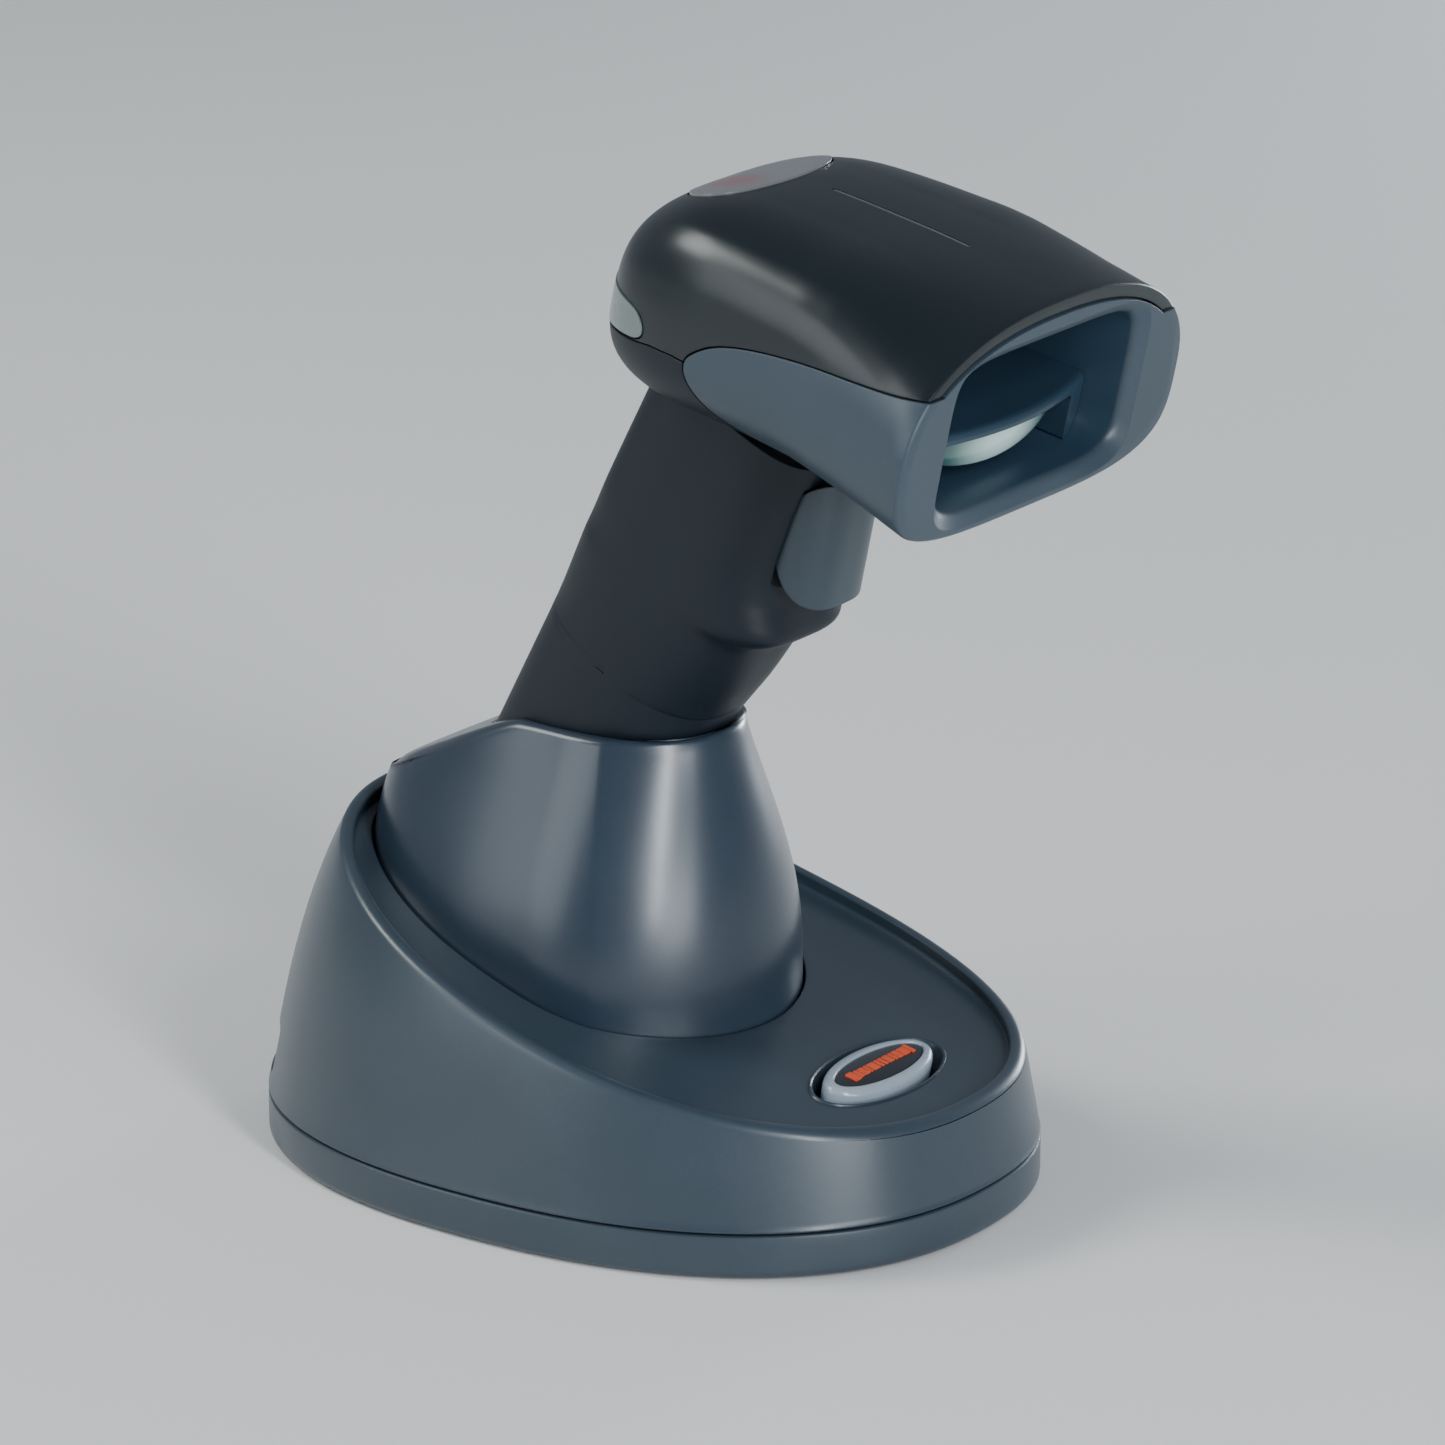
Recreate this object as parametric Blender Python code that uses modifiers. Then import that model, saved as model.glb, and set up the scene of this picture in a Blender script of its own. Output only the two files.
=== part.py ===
"""Cordless barcode scanner resting in its charging cradle.

Lengths are millimetres and are turned into metres when a mesh is made.
World frame: +Z up, the nose points along -Y, the object is symmetric about X = 0.
The scanner has its own frame, pitched nose-down, and its handle has another along its axis.
"""
import math

import bmesh
import bpy
from mathutils import Matrix, Vector
from mathutils.geometry import convex_hull_2d

MM = 0.001
GAP = 0.3

# Cradle plan outline and walls
BASE_HALF_WIDTH = 50.6
BASE_HALF_LENGTH = 65.7
BASE_POWER = 2.28
BASE_WALL = 2.5
ASSEMBLY_SHIFT_Y = 6.16
PLATE_BOTTOM_Z = 0.4
PLATE_FLOOR_TOP_Z = 3.4
PARTING_Z = 7.6
SHELL_BOTTOM_Z = PARTING_Z + GAP
RIM_WIDTH = 2.4
RING_POINTS = 52

# Cup that holds the handle
CUP_CENTRE_Y = 5.0
CUP_TOP_Z = 75.0
CUP_BELL_HEIGHT = 42.0
CUP_WALL = 2.2
WELL_CLEARANCE = 0.4
WELL_WALL = 1.6

# Handle, measured across and along its own axis
HANDLE_TILT = math.radians(27.7)
HANDLE_FOOT = Vector((0.0, 37.5, 15.0))
HANDLE_HALF_WIDTH = 14.5
HANDLE_FRONT = 17.5
HANDLE_BACK = 16.5
HANDLE_POWER = 2.5
HANDLE_WALL = 2.2

# Scanner frame
SCANNER_PITCH = math.radians(12.0)
SCANNER_ORIGIN = Vector((0.0, -30.0, 130.0))
HEAD_FRONT_Y = -41.0
RIM_FRONT_Y = -42.0
HEAD_TIP_Y = 32.0
HEAD_WALL = 2.2
CHEEK_WALL = 3.0
OPENING_HALF_WIDTH = 25.5
OPENING_CENTRE_Z = 15.5
OPENING_HALF_HEIGHT = 12.5
RECESS_BACK_Y = -17.0
STATUS_HALF_WIDTH = 15.5
STATUS_FRONT = 5.6
STATUS_REAR = 9.0
STATUS_Y = 15.0
STATUS_Z = 19.3

# Trigger, hung on a pin across the top of the handle
TRIGGER_PIN = (-5.6, -5.2)
TRIGGER_HALF_WIDTH = 9.7
TRIGGER_ARM_HALF_WIDTH = 6.0
TRIGGER_SWING = math.radians(4.3)
PIN_RADIUS = 1.1

# Page button on the deck
BUTTON_Y = -44.5
BUTTON_HALF_LENGTH = 13.4
BUTTON_HALF_WIDTH = 5.7
BUTTON_SLOPE = math.radians(11.0)

BOSS_PLACES = ((32.0, -41.0), (-32.0, -41.0), (37.0, 37.0), (-37.0, 37.0))
FOOT_PLACES = ((24.0, -48.0), (-24.0, -48.0), (25.0, 46.0), (-25.0, 46.0))
JACK_X = 25.5
CONTACT_PLACES = (-5.4, -1.8, 1.8, 5.4)

COLORS = {
    "cradle": ((0.085, 0.110, 0.132), 0.42, 0.0),
    "cup": ((0.070, 0.092, 0.110), 0.38, 0.0),
    "cover": ((0.016, 0.026, 0.034), 0.30, 0.0),
    "bezel": ((0.085, 0.118, 0.140), 0.50, 0.0),
    "housing": ((0.026, 0.036, 0.048), 0.52, 0.0),
    "trigger": ((0.090, 0.115, 0.135), 0.45, 0.0),
    "dark": ((0.010, 0.012, 0.015), 0.60, 0.0),
    "button": ((0.36, 0.41, 0.46), 0.35, 0.0),
    "accent": ((0.75, 0.11, 0.03), 0.45, 0.0),
    "lens_grey": ((0.26, 0.26, 0.27), 0.30, 0.0),
    "lens_pale": ((0.27, 0.33, 0.31), 0.30, 0.0),
    "glass": ((0.35, 0.48, 0.46), 0.05, 0.0),
    "rubber": ((0.02, 0.02, 0.02), 0.85, 0.0),
    "steel": ((0.60, 0.60, 0.62), 0.30, 1.0),
    "gold": ((0.80, 0.58, 0.22), 0.30, 1.0),
    "board": ((0.02, 0.14, 0.06), 0.45, 0.0),
    "cell": ((0.10, 0.20, 0.45), 0.35, 0.0),
}


# ---------------------------------------------------------------- mesh helpers

def clear_scene():
    for item in list(bpy.data.objects):
        bpy.data.objects.remove(item, do_unlink=True)


def make_collection(name):
    collection = bpy.data.collections.new(name)
    bpy.context.scene.collection.children.link(collection)
    return collection


def make_material(name):
    color, roughness, metallic = COLORS[name]
    material = bpy.data.materials.new(name)
    material.use_nodes = True
    shader = material.node_tree.nodes["Principled BSDF"]
    shader.inputs["Base Color"].default_value = (*color, 1.0)
    shader.inputs["Roughness"].default_value = roughness
    shader.inputs["Metallic"].default_value = metallic
    return material


def signed_power(value, power):
    return math.copysign(abs(value) ** power, value)


def superellipse(half_x, half_y, power, angle):
    x = half_x * signed_power(math.cos(angle), 2.0 / power)
    y = half_y * signed_power(math.sin(angle), 2.0 / power)
    return x, y


def ring_angles(count=RING_POINTS):
    return [2.0 * math.pi * (i + 0.5) / count for i in range(count)]


def mesh_object(name, mesh, material, parent=None, cutter=False):
    item = bpy.data.objects.new(name, mesh)
    if material:
        mesh.materials.append(MATERIALS[material])
    (CUTTERS if cutter else PARTS).objects.link(item)
    if cutter:
        item.hide_render = True
        item.display_type = "WIRE"
    item.parent = parent
    return item


def finish_bmesh(bm, name, smooth=True):
    bmesh.ops.recalc_face_normals(bm, faces=bm.faces)
    if bm.calc_volume(signed=True) < 0.0:
        bmesh.ops.reverse_faces(bm, faces=bm.faces)
    mesh = bpy.data.meshes.new(name)
    bm.to_mesh(mesh)
    bm.free()
    if smooth:
        mesh.shade_smooth()
        mesh.set_sharp_from_angle(angle=math.radians(35.0))
    return mesh


def loft(name, rings, material, parent=None, closed=False, cutter=False):
    """Skin a row of rings; closed joins the last ring to the first, else both ends get a cap."""
    bm = bmesh.new()
    rows = [[bm.verts.new(Vector(p) * MM) for p in ring] for ring in rings]
    pairs = list(zip(rows, rows[1:] + rows[:1])) if closed else list(zip(rows, rows[1:]))
    for low, high in pairs:
        count = len(low)
        for i in range(count):
            j = (i + 1) % count
            bm.faces.new((low[i], low[j], high[j], high[i]))
    if not closed:
        bm.faces.new(rows[0])
        bm.faces.new(rows[-1])
    return mesh_object(name, finish_bmesh(bm, name), material, parent, cutter)


def box(name, low, high, material=None, parent=None, cutter=False, bevel=0.0):
    bm = bmesh.new()
    bmesh.ops.create_cube(bm, size=1.0)
    low = Vector(low)
    high = Vector(high)
    for vert in bm.verts:
        share = vert.co + Vector((0.5, 0.5, 0.5))
        vert.co = Vector(low[k] + (high[k] - low[k]) * share[k] for k in range(3)) * MM
    item = mesh_object(name, finish_bmesh(bm, name, smooth=False), material, parent, cutter)
    if bevel:
        add_bevel(item, bevel)
    return item


def rod(name, start, end, radius, material=None, parent=None, cutter=False, sides=20):
    """A plain cylinder between two points."""
    start = Vector(start)
    end = Vector(end)
    axis = end - start
    bm = bmesh.new()
    turn = axis.to_track_quat("Z", "Y").to_matrix().to_4x4()
    place = Matrix.Translation((start + end) * 0.5 * MM) @ turn
    bmesh.ops.create_cone(bm, cap_ends=True, segments=sides, radius1=radius * MM,
                          radius2=radius * MM, depth=axis.length * MM, matrix=place)
    return mesh_object(name, finish_bmesh(bm, name), material, parent, cutter)


def turned(name, profile, place, axis, material, parent=None, sides=24, cutter=False):
    """Turn a profile of (radius, height) points, listed top to bottom, about a local Z axis."""
    bm = bmesh.new()
    verts = [bm.verts.new((r * MM, 0.0, z * MM)) for r, z in profile]
    for first, second in zip(verts, verts[1:]):
        bm.edges.new((first, second))
    mesh = bpy.data.meshes.new(name)
    bm.to_mesh(mesh)
    bm.free()
    item = mesh_object(name, mesh, material, parent, cutter)
    screw = item.modifiers.new("turn", "SCREW")
    screw.steps = sides
    screw.render_steps = sides
    screw.use_merge_vertices = True
    screw.merge_threshold = 0.00001
    item.location = Vector(place) * MM
    item.rotation_euler = Vector(axis).to_track_quat("Z", "Y").to_euler()
    return item


def prism(name, outline, axis, low, high, material=None, parent=None, cutter=False):
    """Push a flat outline along a world or parent axis; outline points are the other two axes."""
    def point(pair, depth):
        if axis == "X":
            return (depth, pair[0], pair[1])
        if axis == "Y":
            return (pair[0], depth, pair[1])
        return (pair[0], pair[1], depth)
    rings = [[point(pair, depth) for pair in outline] for depth in (low, high)]
    item = loft(name, rings, material, parent, cutter=cutter)
    return item


def add_bevel(item, width, segments=2, angle=35.0):
    bevel = item.modifiers.new("rounding", "BEVEL")
    bevel.width = width * MM
    bevel.segments = segments
    bevel.limit_method = "ANGLE"
    bevel.angle_limit = math.radians(angle)
    return bevel


def combine(item, other, operation):
    boolean = item.modifiers.new(operation.lower(), "BOOLEAN")
    boolean.operation = operation
    boolean.solver = "EXACT"
    boolean.object = other


def cut(item, *others):
    for other in others:
        combine(item, other, "DIFFERENCE")


def join(item, *others):
    for other in others:
        combine(item, other, "UNION")


def keep_inside(item, other):
    combine(item, other, "INTERSECT")


def ellipse(half_x, half_y, centre=(0.0, 0.0), count=32, power=2.0):
    points = []
    for angle in ring_angles(count):
        x, y = superellipse(half_x, half_y, power, angle)
        points.append((centre[0] + x, centre[1] + y))
    return points


def widened(outline, amount):
    """Offset a closed outline outward by a distance."""
    area = sum(a[0] * b[1] - b[0] * a[1] for a, b in zip(outline, outline[1:] + outline[:1]))
    side = 1.0 if area > 0 else -1.0
    count = len(outline)
    result = []
    for i in range(count):
        before = Vector(outline[i - 1])
        here = Vector(outline[i])
        after = Vector(outline[(i + 1) % count])
        one = (here - before).normalized()
        two = (after - here).normalized()
        normal = Vector((one.y + two.y, -one.x - two.x)).normalized()
        stretch = max(0.35, normal.dot(Vector((one.y, -one.x))))
        moved = here + normal * (side * amount / stretch)
        result.append((moved.x, moved.y))
    return result


# ---------------------------------------------------------------- cradle shapes

def rim_height(y):
    """Height of the sloping rim of the cradle, low in front and high behind."""
    share = y / BASE_HALF_LENGTH
    return 36.0 + 19.8 * share + 6.2 * share ** 2 + 1.2 * share ** 3


def deck_height(y):
    return rim_height(y) - 2.2 - 0.012 * (y + 50.0)


def wall_inset(z):
    rise = max(z - PARTING_Z, 0.0)
    return 0.168 * rise + 6.4 * (rise / 50.0) ** 3


def base_point(angle, inset):
    return superellipse(BASE_HALF_WIDTH - inset, BASE_HALF_LENGTH - inset, BASE_POWER, angle)


def level_ring(z, inset):
    return [(*base_point(angle, inset), z) for angle in ring_angles()]


def rim_point(angle, inset, drop, share=1.0):
    """A point of the wall at a share of its height, solved because inset and height agree."""
    z = 40.0
    for _ in range(12):
        x, y = base_point(angle, wall_inset(z) + inset)
        z = SHELL_BOTTOM_Z + share * (rim_height(y) - drop - SHELL_BOTTOM_Z)
    return x, y, z


def rim_ring(inset, drop=0.0, share=1.0):
    return [rim_point(angle, inset, drop, share) for angle in ring_angles()]


def bell(z):
    """0 at the cup's mouth and 1 at its foot, following the bell-shaped side."""
    share = min(max((CUP_TOP_Z - z) / CUP_BELL_HEIGHT, 0.0), 1.0)
    return math.sin(0.5 * math.pi * share) ** 1.2


def cup_edge(angle):
    """A soft vertical edge on each side where the flat side panel meets the round front."""
    aside = math.degrees(math.atan2(-math.sin(angle), abs(math.cos(angle))))
    return max(0.0, 1.0 - abs(aside - 24.4) / 50.0) ** 2


def cup_point(angle, z, inset=0.0):
    flare = bell(z)
    wide = 16.9 + 12.5 * flare - inset
    front = 20.4 + 7.8 * flare - inset
    lean = min(max((z - 48.0) / 20.0, 0.0), 1.0)
    back = 45.0 - 6.0 * lean ** 2 - inset
    across = math.cos(angle)
    along = math.sin(angle)
    if along < 0:
        radius = 1.0 / math.hypot(across / wide, along / front)
    else:
        power = 2.4
        radius = (abs(across / wide) ** power + (along / back) ** power) ** (-1.0 / power)
    radius += 1.1 * cup_edge(angle)
    return radius * across, CUP_CENTRE_Y + radius * along


def cup_top(y):
    """The cup's top is level round the handle and falls away behind it."""
    past = max(y - 14.0, 0.0)
    return CUP_TOP_Z - 0.5 * past * past / (past + 4.0)


def cup_ring(angles, share, inset=0.0, drop=0.0, sink=3.0):
    """A ring of the cup's skin between its foot under the deck and its top edge."""
    ring = []
    for angle in angles:
        z = 50.0
        for _ in range(14):
            x, y = cup_point(angle, z, inset)
            low = deck_height(y) - sink
            z = low + share * (cup_top(y) - drop - low)
        ring.append((x, y, z))
    return ring


def deck_angles():
    """Directions from the cup's centre to the points round the rim."""
    angles = []
    for x, y, _ in rim_ring(RIM_WIDTH):
        angles.append(math.atan2(y - CUP_CENTRE_Y, x))
    return angles


def deck_ring(angles, widen, drop):
    """A ring on the deck round the cup's foot."""
    ring = []
    for angle in angles:
        z = 35.0
        for _ in range(10):
            x, y = cup_point(angle, z, -widen)
            z = deck_height(y)
        ring.append((x, y, z - drop))
    return ring


def between(ring_a, ring_b, share, drop=0.0):
    """A deck ring part of the way from one ring to another, laid on the deck surface."""
    ring = []
    for a, b in zip(ring_a, ring_b):
        x = a[0] + (b[0] - a[0]) * share
        y = a[1] + (b[1] - a[1]) * share
        ring.append((x, y, deck_height(y) - drop))
    return ring


# ---------------------------------------------------------------- handle frame

HANDLE_ACROSS = Vector((0.0, math.cos(HANDLE_TILT), math.sin(HANDLE_TILT)))
HANDLE_UP = Vector((0.0, -math.sin(HANDLE_TILT), math.cos(HANDLE_TILT)))


def handle_point(x, across, along):
    """World point from a place in the handle's own frame."""
    return HANDLE_FOOT + Vector((x, 0.0, 0.0)) + HANDLE_ACROSS * across + HANDLE_UP * along


def handle_ring(angles, along, half_width, front, back, power=HANDLE_POWER):
    middle = 0.5 * (front + back)
    half = 0.5 * (back - front)
    ring = []
    for angle in angles:
        x, across = superellipse(half_width, half, power, angle)
        ring.append(handle_point(x, middle + across, along))
    return ring


def well_ring(angles, along, clearance):
    return handle_ring(angles, along, HANDLE_HALF_WIDTH + clearance,
                       -HANDLE_FRONT - clearance, HANDLE_BACK + clearance)


def mouth_ring(angles, clearance, drop):
    """Where the well's wall meets the cup's sloping top."""
    ring = []
    for angle in angles:
        half = 0.5 * (HANDLE_FRONT + HANDLE_BACK) + clearance
        x, across = superellipse(HANDLE_HALF_WIDTH + clearance, half, HANDLE_POWER, angle)
        across += 0.5 * (HANDLE_BACK - HANDLE_FRONT)
        along = 70.0
        for _ in range(12):
            point = handle_point(x, across, along)
            along += (cup_top(point.y) - drop - point.z) / math.cos(HANDLE_TILT) * 0.8
        ring.append(handle_point(x, across, along))
    return ring


# ---------------------------------------------------------------- head envelope

def head_taper(y, start, power):
    share = min(max((y - start) / (HEAD_TIP_Y - start), 0.0), 1.0)
    return (1.0 - share ** power) ** (1.0 / power)


def head_section(y, inset):
    """Half-width, centre height, rise above it, fall below it and the two section powers."""
    front = min(max((-14.0 - y) / 27.0, 0.0), 1.0)
    taper_y = min(y, HEAD_TIP_Y - 0.15)
    width = (30.5 - 0.12 * y + 3.4 * front ** 2) * head_taper(taper_y, 3.0, 2.5)
    centre = 15.0 - 4.0 * min(max((y + 5.0) / 37.0, 0.0), 1.0) ** 2
    rise = (21.8 - 2.0 * front ** 2) * head_taper(taper_y, 6.0, 2.35)
    fall = (15.0 + 0.3 * front) * head_taper(taper_y, 6.0, 2.3)
    return (max(width - inset, 0.2), centre, max(rise - inset, 0.2), max(fall - inset, 0.2),
            3.5 - 1.2 * front, 2.6 + 1.1 * front)


def head_ring(y, inset=0.0, count=44):
    width, centre, rise, fall, power_up, power_down = head_section(y, inset)
    crease = 0.03 * min(max((y + 33.0) / 14.0, 0.0), 1.0) * min(max((26.0 - y) / 12.0, 0.0), 1.0)
    ring = []
    for angle in ring_angles(count):
        upper = math.sin(angle) > 0
        power = power_up if upper else power_down
        x, z = superellipse(width, rise if upper else fall, power, angle)
        if upper:
            turn = math.degrees(math.atan2(z / rise, abs(x) / width))
            swell = 1.0 + crease * max(0.0, 1.0 - abs(turn - 45.0) / 24.0)
            x *= swell
            z *= swell
        ring.append((x, y, centre + z))
    return ring


def head_stations(first, last, count):
    """Places along the head, closer together towards its rounded rear end."""
    return [first + (last - first) * math.sin(0.5 * math.pi * i / count) for i in range(count + 1)]


SEAM = [(60.0, 9.4), (26.0, 10.0), (22.9, 10.7), (17.3, 11.9), (12.7, 13.0), (8.0, 13.5),
        (-41.0, 14.0), (-60.0, 14.0)]

CHEEK = [(-42.5, 25.6), (-36.0, 24.4), (-28.5, 23.4), (-16.9, 22.0), (-7.7, 20.3), (-1.0, 18.2),
         (3.2, 15.6), (4.9, 13.2), (3.6, 10.0), (-1.8, 6.1), (-12.2, 4.1), (-25.6, 3.5),
         (-37.2, 3.0), (-37.6, -4.0), (-42.5, -4.0)]


# Pale band that wraps round the tail just above the seam
REAR_BAND = [(60.0, 16.2), (26.0, 16.5), (20.3, 16.8), (17.6, 16.6), (15.9, 15.8), (15.0, 14.5),
             (15.2, 13.3), (16.3, 12.6), (17.5, 12.2), (22.9, 11.0), (26.0, 10.3), (60.0, 9.7)]


def status_outline():
    """The light on top: flat in front, round behind, as wide as it can be on the head."""
    points = []
    for angle in ring_angles(36):
        if math.sin(angle) > 0:
            x, y = superellipse(STATUS_HALF_WIDTH, STATUS_REAR, 2.0, angle)
        else:
            x, y = superellipse(STATUS_HALF_WIDTH, STATUS_FRONT, 2.2, angle)
        points.append((x, STATUS_Y + y))
    return points


def opening_outline(inset, count=40):
    return ellipse(OPENING_HALF_WIDTH - inset, OPENING_HALF_HEIGHT - inset,
                   (0.0, OPENING_CENTRE_Z), count, 6.0)


# ---------------------------------------------------------------- cradle parts

def build_base_shell(root):
    angles = deck_angles()
    rim_inner = rim_ring(RIM_WIDTH)
    hole = deck_ring(angles, 0.4, 0.0)
    wall = [level_ring(SHELL_BOTTOM_Z, 0.0)]
    wall += [rim_ring(0.0, 0.0, share) for share in (0.3, 0.6, 0.85)]
    wall.append(rim_ring(0.15, 0.9))
    wall.append(rim_ring(0.9, 0.1))
    top = [rim_ring(1.8, 0.2), between(rim_inner, hole, 0.05)]
    top += [between(rim_inner, hole, share) for share in (0.5, 0.96)]
    top.append(hole)
    under = [deck_ring(angles, 0.4, BASE_WALL), between(rim_inner, hole, 0.5, BASE_WALL)]
    under.append(rim_ring(RIM_WIDTH + 0.6, 5.5))
    under += [rim_ring(BASE_WALL, 6.0, share) for share in (0.7, 0.35)]
    under.append(level_ring(SHELL_BOTTOM_Z, BASE_WALL))
    shell = loft("base_shell", wall + top + under, "cradle", root, closed=True)
    for i, (x, y) in enumerate(BOSS_PLACES):
        high = 22.0 if y < 0 else 15.5
        boss = rod(f"cut_boss_{i}", (x, y, 4.2), (x, y, high), 3.4, parent=root, cutter=True)
        pilot = rod(f"cut_pilot_{i}", (x, y, 2.0), (x, y, 12.0), 1.6, parent=root, cutter=True,
                    sides=12)
        join(shell, boss)
        cut(shell, pilot)
    for side in (-1, 1):
        window = box(f"cut_jack_window_{side}", (side * JACK_X - 5.6, 46.0, 10.4),
                     (side * JACK_X + 5.6, 75.0, 19.0), parent=root, cutter=True)
        cut(shell, window)
    slope = Matrix.Rotation(BUTTON_SLOPE, 4, "X")
    hole_cutter = prism("cut_button_hole", ellipse(BUTTON_HALF_LENGTH + 3.0,
                        BUTTON_HALF_WIDTH + 1.6), "Z", -8.0, 8.0, parent=root, cutter=True)
    hole_cutter.matrix_local = Matrix.Translation(
        Vector((0.0, BUTTON_Y, deck_height(BUTTON_Y))) * MM) @ slope
    cut(shell, hole_cutter)
    return shell


def build_cup(root):
    angles = ring_angles()
    skin = [cup_ring(angles, share) for share in (0.0, 0.08, 0.2, 0.36, 0.52, 0.68, 0.84, 0.94)]
    lip = [cup_ring(angles, 1.0, 0.2, 0.8), cup_ring(angles, 1.0, 1.0, 0.0)]
    mouth = [mouth_ring(angles, WELL_CLEARANCE, 0.0)]
    well = [well_ring(angles, along, WELL_CLEARANCE) for along in (52.0, 26.0, -0.6)]
    floor_hole = [handle_ring(angles, along, 9.0, -6.0, 6.0, 4.0) for along in (-0.6, -2.4)]
    outside = [well_ring(angles, -2.4, WELL_CLEARANCE + WELL_WALL),
               well_ring(angles, 30.0, WELL_CLEARANCE + WELL_WALL),
               mouth_ring(angles, WELL_CLEARANCE + 0.7, 4.2)]
    inner = [cup_ring(angles, 0.97, CUP_WALL, 3.6)]
    inner += [cup_ring(angles, share, CUP_WALL, 3.6) for share in (0.7, 0.35, 0.0)]
    return loft("cradle_cup", skin + lip + mouth + well + floor_hole + outside + inner,
                "cup", root, closed=True)


def build_bottom_plate(root):
    rings = [level_ring(PLATE_BOTTOM_Z, 0.5), level_ring(PLATE_BOTTOM_Z + 0.8, 0.0),
             level_ring(PARTING_Z, 0.0), level_ring(PARTING_Z, BASE_WALL),
             level_ring(PLATE_FLOOR_TOP_Z, BASE_WALL)]
    plate = loft("base_bottom_plate", rings, "cradle", root)
    for i, (x, y) in enumerate(FOOT_PLACES):
        cut(plate, rod(f"cut_foot_pocket_{i}", (x, y, -1.0), (x, y, 2.0), 7.3, parent=root,
                       cutter=True, sides=28))
    for i, (x, y) in enumerate(BOSS_PLACES):
        cut(plate, rod(f"cut_screw_hole_{i}", (x, y, -1.0), (x, y, 5.0), 1.9, parent=root,
                       cutter=True, sides=16),
            rod(f"cut_screw_seat_{i}", (x, y, -1.0), (x, y, 2.6), 3.4, parent=root,
                cutter=True, sides=16))
    return plate


def build_feet_and_screws(root):
    for i, (x, y) in enumerate(FOOT_PLACES):
        turned(f"rubber_foot_{i + 1}", [(0.0, 1.7), (7.0, 1.7), (7.0, 0.5), (6.4, 0.0),
               (0.0, 0.0)], (x, y, 0.0), (0, 0, 1), "rubber", root)
    for i, (x, y) in enumerate(BOSS_PLACES):
        turned(f"base_screw_{i + 1}", [(0.0, 11.5), (1.3, 11.0), (1.3, 2.3), (3.0, 2.3),
               (3.0, 1.2), (2.2, 0.7), (0.0, 0.7)], (x, y, 0.0), (0, 0, 1), "steel", root, 16)


def build_base_inside(root):
    board = box("base_circuit_board", (-30.5, -36.6, 8.6), (30.5, 45.0, 10.1), "board", root)
    cut(board, box("cut_board_slot", (-19.0, 8.0, 0.0), (19.0, 70.0, 20.0), parent=root,
                   cutter=True))
    box("base_radio_module", (-26.0, -30.0, 10.4), (-8.0, -16.0, 12.8), "steel", root)
    box("base_charger_coil", (8.0, -30.0, 10.4), (20.0, -18.0, 16.4), "dark", root)
    data = box("data_jack", (-JACK_X - 6.3, 32.0, 10.4), (-JACK_X + 6.3, 45.5, 20.6), "dark", root)
    cut(data, box("cut_data_socket", (-JACK_X - 5.2, 34.0, 12.0), (-JACK_X + 5.2, 60.0, 18.8),
                  parent=root, cutter=True))
    power = box("power_jack", (JACK_X - 5.0, 33.0, 10.4), (JACK_X + 5.0, 45.5, 20.0), "dark", root)
    cut(power, rod("cut_power_socket", (JACK_X, 35.0, 15.0), (JACK_X, 60.0, 15.0), 3.3,
                   parent=root, cutter=True, sides=20))


def build_contacts(root):
    angles = ring_angles(24)
    rings = [handle_ring(angles, along, 8.6, -5.6, 5.6, 4.0) for along in (-3.4, -0.7)]
    block = loft("contact_block", rings, "dark", root)
    for i, x in enumerate(CONTACT_PLACES):
        low = handle_point(x, 0.0, -6.0)
        high = handle_point(x, 0.0, 3.0)
        cut(block, rod(f"cut_pin_bore_{i}", low, high, 1.1, parent=root, cutter=True, sides=16))
        turned(f"contact_pin_{i + 1}", [(0.0, 0.9), (0.5, 0.6), (0.8, 0.0), (0.8, -3.6),
               (0.0, -3.6)], handle_point(x, 0.0, 0.0), HANDLE_UP, "gold", root, 12)


def oval_ring(half_x, half_y, z):
    return [(x, y, z) for x, y in ellipse(half_x, half_y, count=28)]


def build_page_button(root):
    pivot = bpy.data.objects.new("page_button_frame", None)
    PARTS.objects.link(pivot)
    pivot.parent = root
    pivot.location = Vector((0.0, BUTTON_Y, deck_height(BUTTON_Y))) * MM
    pivot.rotation_euler = (BUTTON_SLOPE, 0.0, 0.0)
    long = BUTTON_HALF_LENGTH
    wide = BUTTON_HALF_WIDTH
    button = loft("page_button", [oval_ring(long - 1.2, wide - 1.2, -4.2),
                  oval_ring(long - 0.1, wide - 0.1, -4.0), oval_ring(long, wide, 0.6),
                  oval_ring(long - 0.5, wide - 0.5, 1.3), oval_ring(long - 1.6, wide - 1.6, 1.6)],
                  "button", pivot)
    cut(button, prism("cut_inlay_seat", ellipse(11.4, 3.7, count=32), "Z", 0.6, 4.0,
                      parent=pivot, cutter=True))
    loft("page_button_inlay", [oval_ring(11.0, 3.3, 0.9), oval_ring(10.9, 3.2, 1.8)], "dark",
         pivot)
    box("page_button_mark", (-8.2, -1.2, 2.1), (8.2, 1.2, 2.4), "accent", pivot)
    well = [oval_ring(long + 2.6, wide + 1.2, -1.2), oval_ring(long + 0.5, wide + 0.5, -1.2)]
    well += [oval_ring(long + 0.5, wide + 0.5, -6.2), oval_ring(5.4, 4.2, -6.2)]
    well += [oval_ring(5.4, 4.2, -7.4), oval_ring(long + 2.6, wide + 1.2, -7.4)]
    loft("button_well", well, "dark", pivot, closed=True)
    box("page_switch", (-3.0, -2.4, -9.6), (3.0, 2.4, -5.6), "dark", pivot)


# ---------------------------------------------------------------- head parts

def head_solid(name, inset, first, last, parent, cutter=True, material=None):
    rings = [head_ring(y, inset) for y in head_stations(first, last, 14)]
    return loft(name, rings, material, parent, cutter=cutter)


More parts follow.
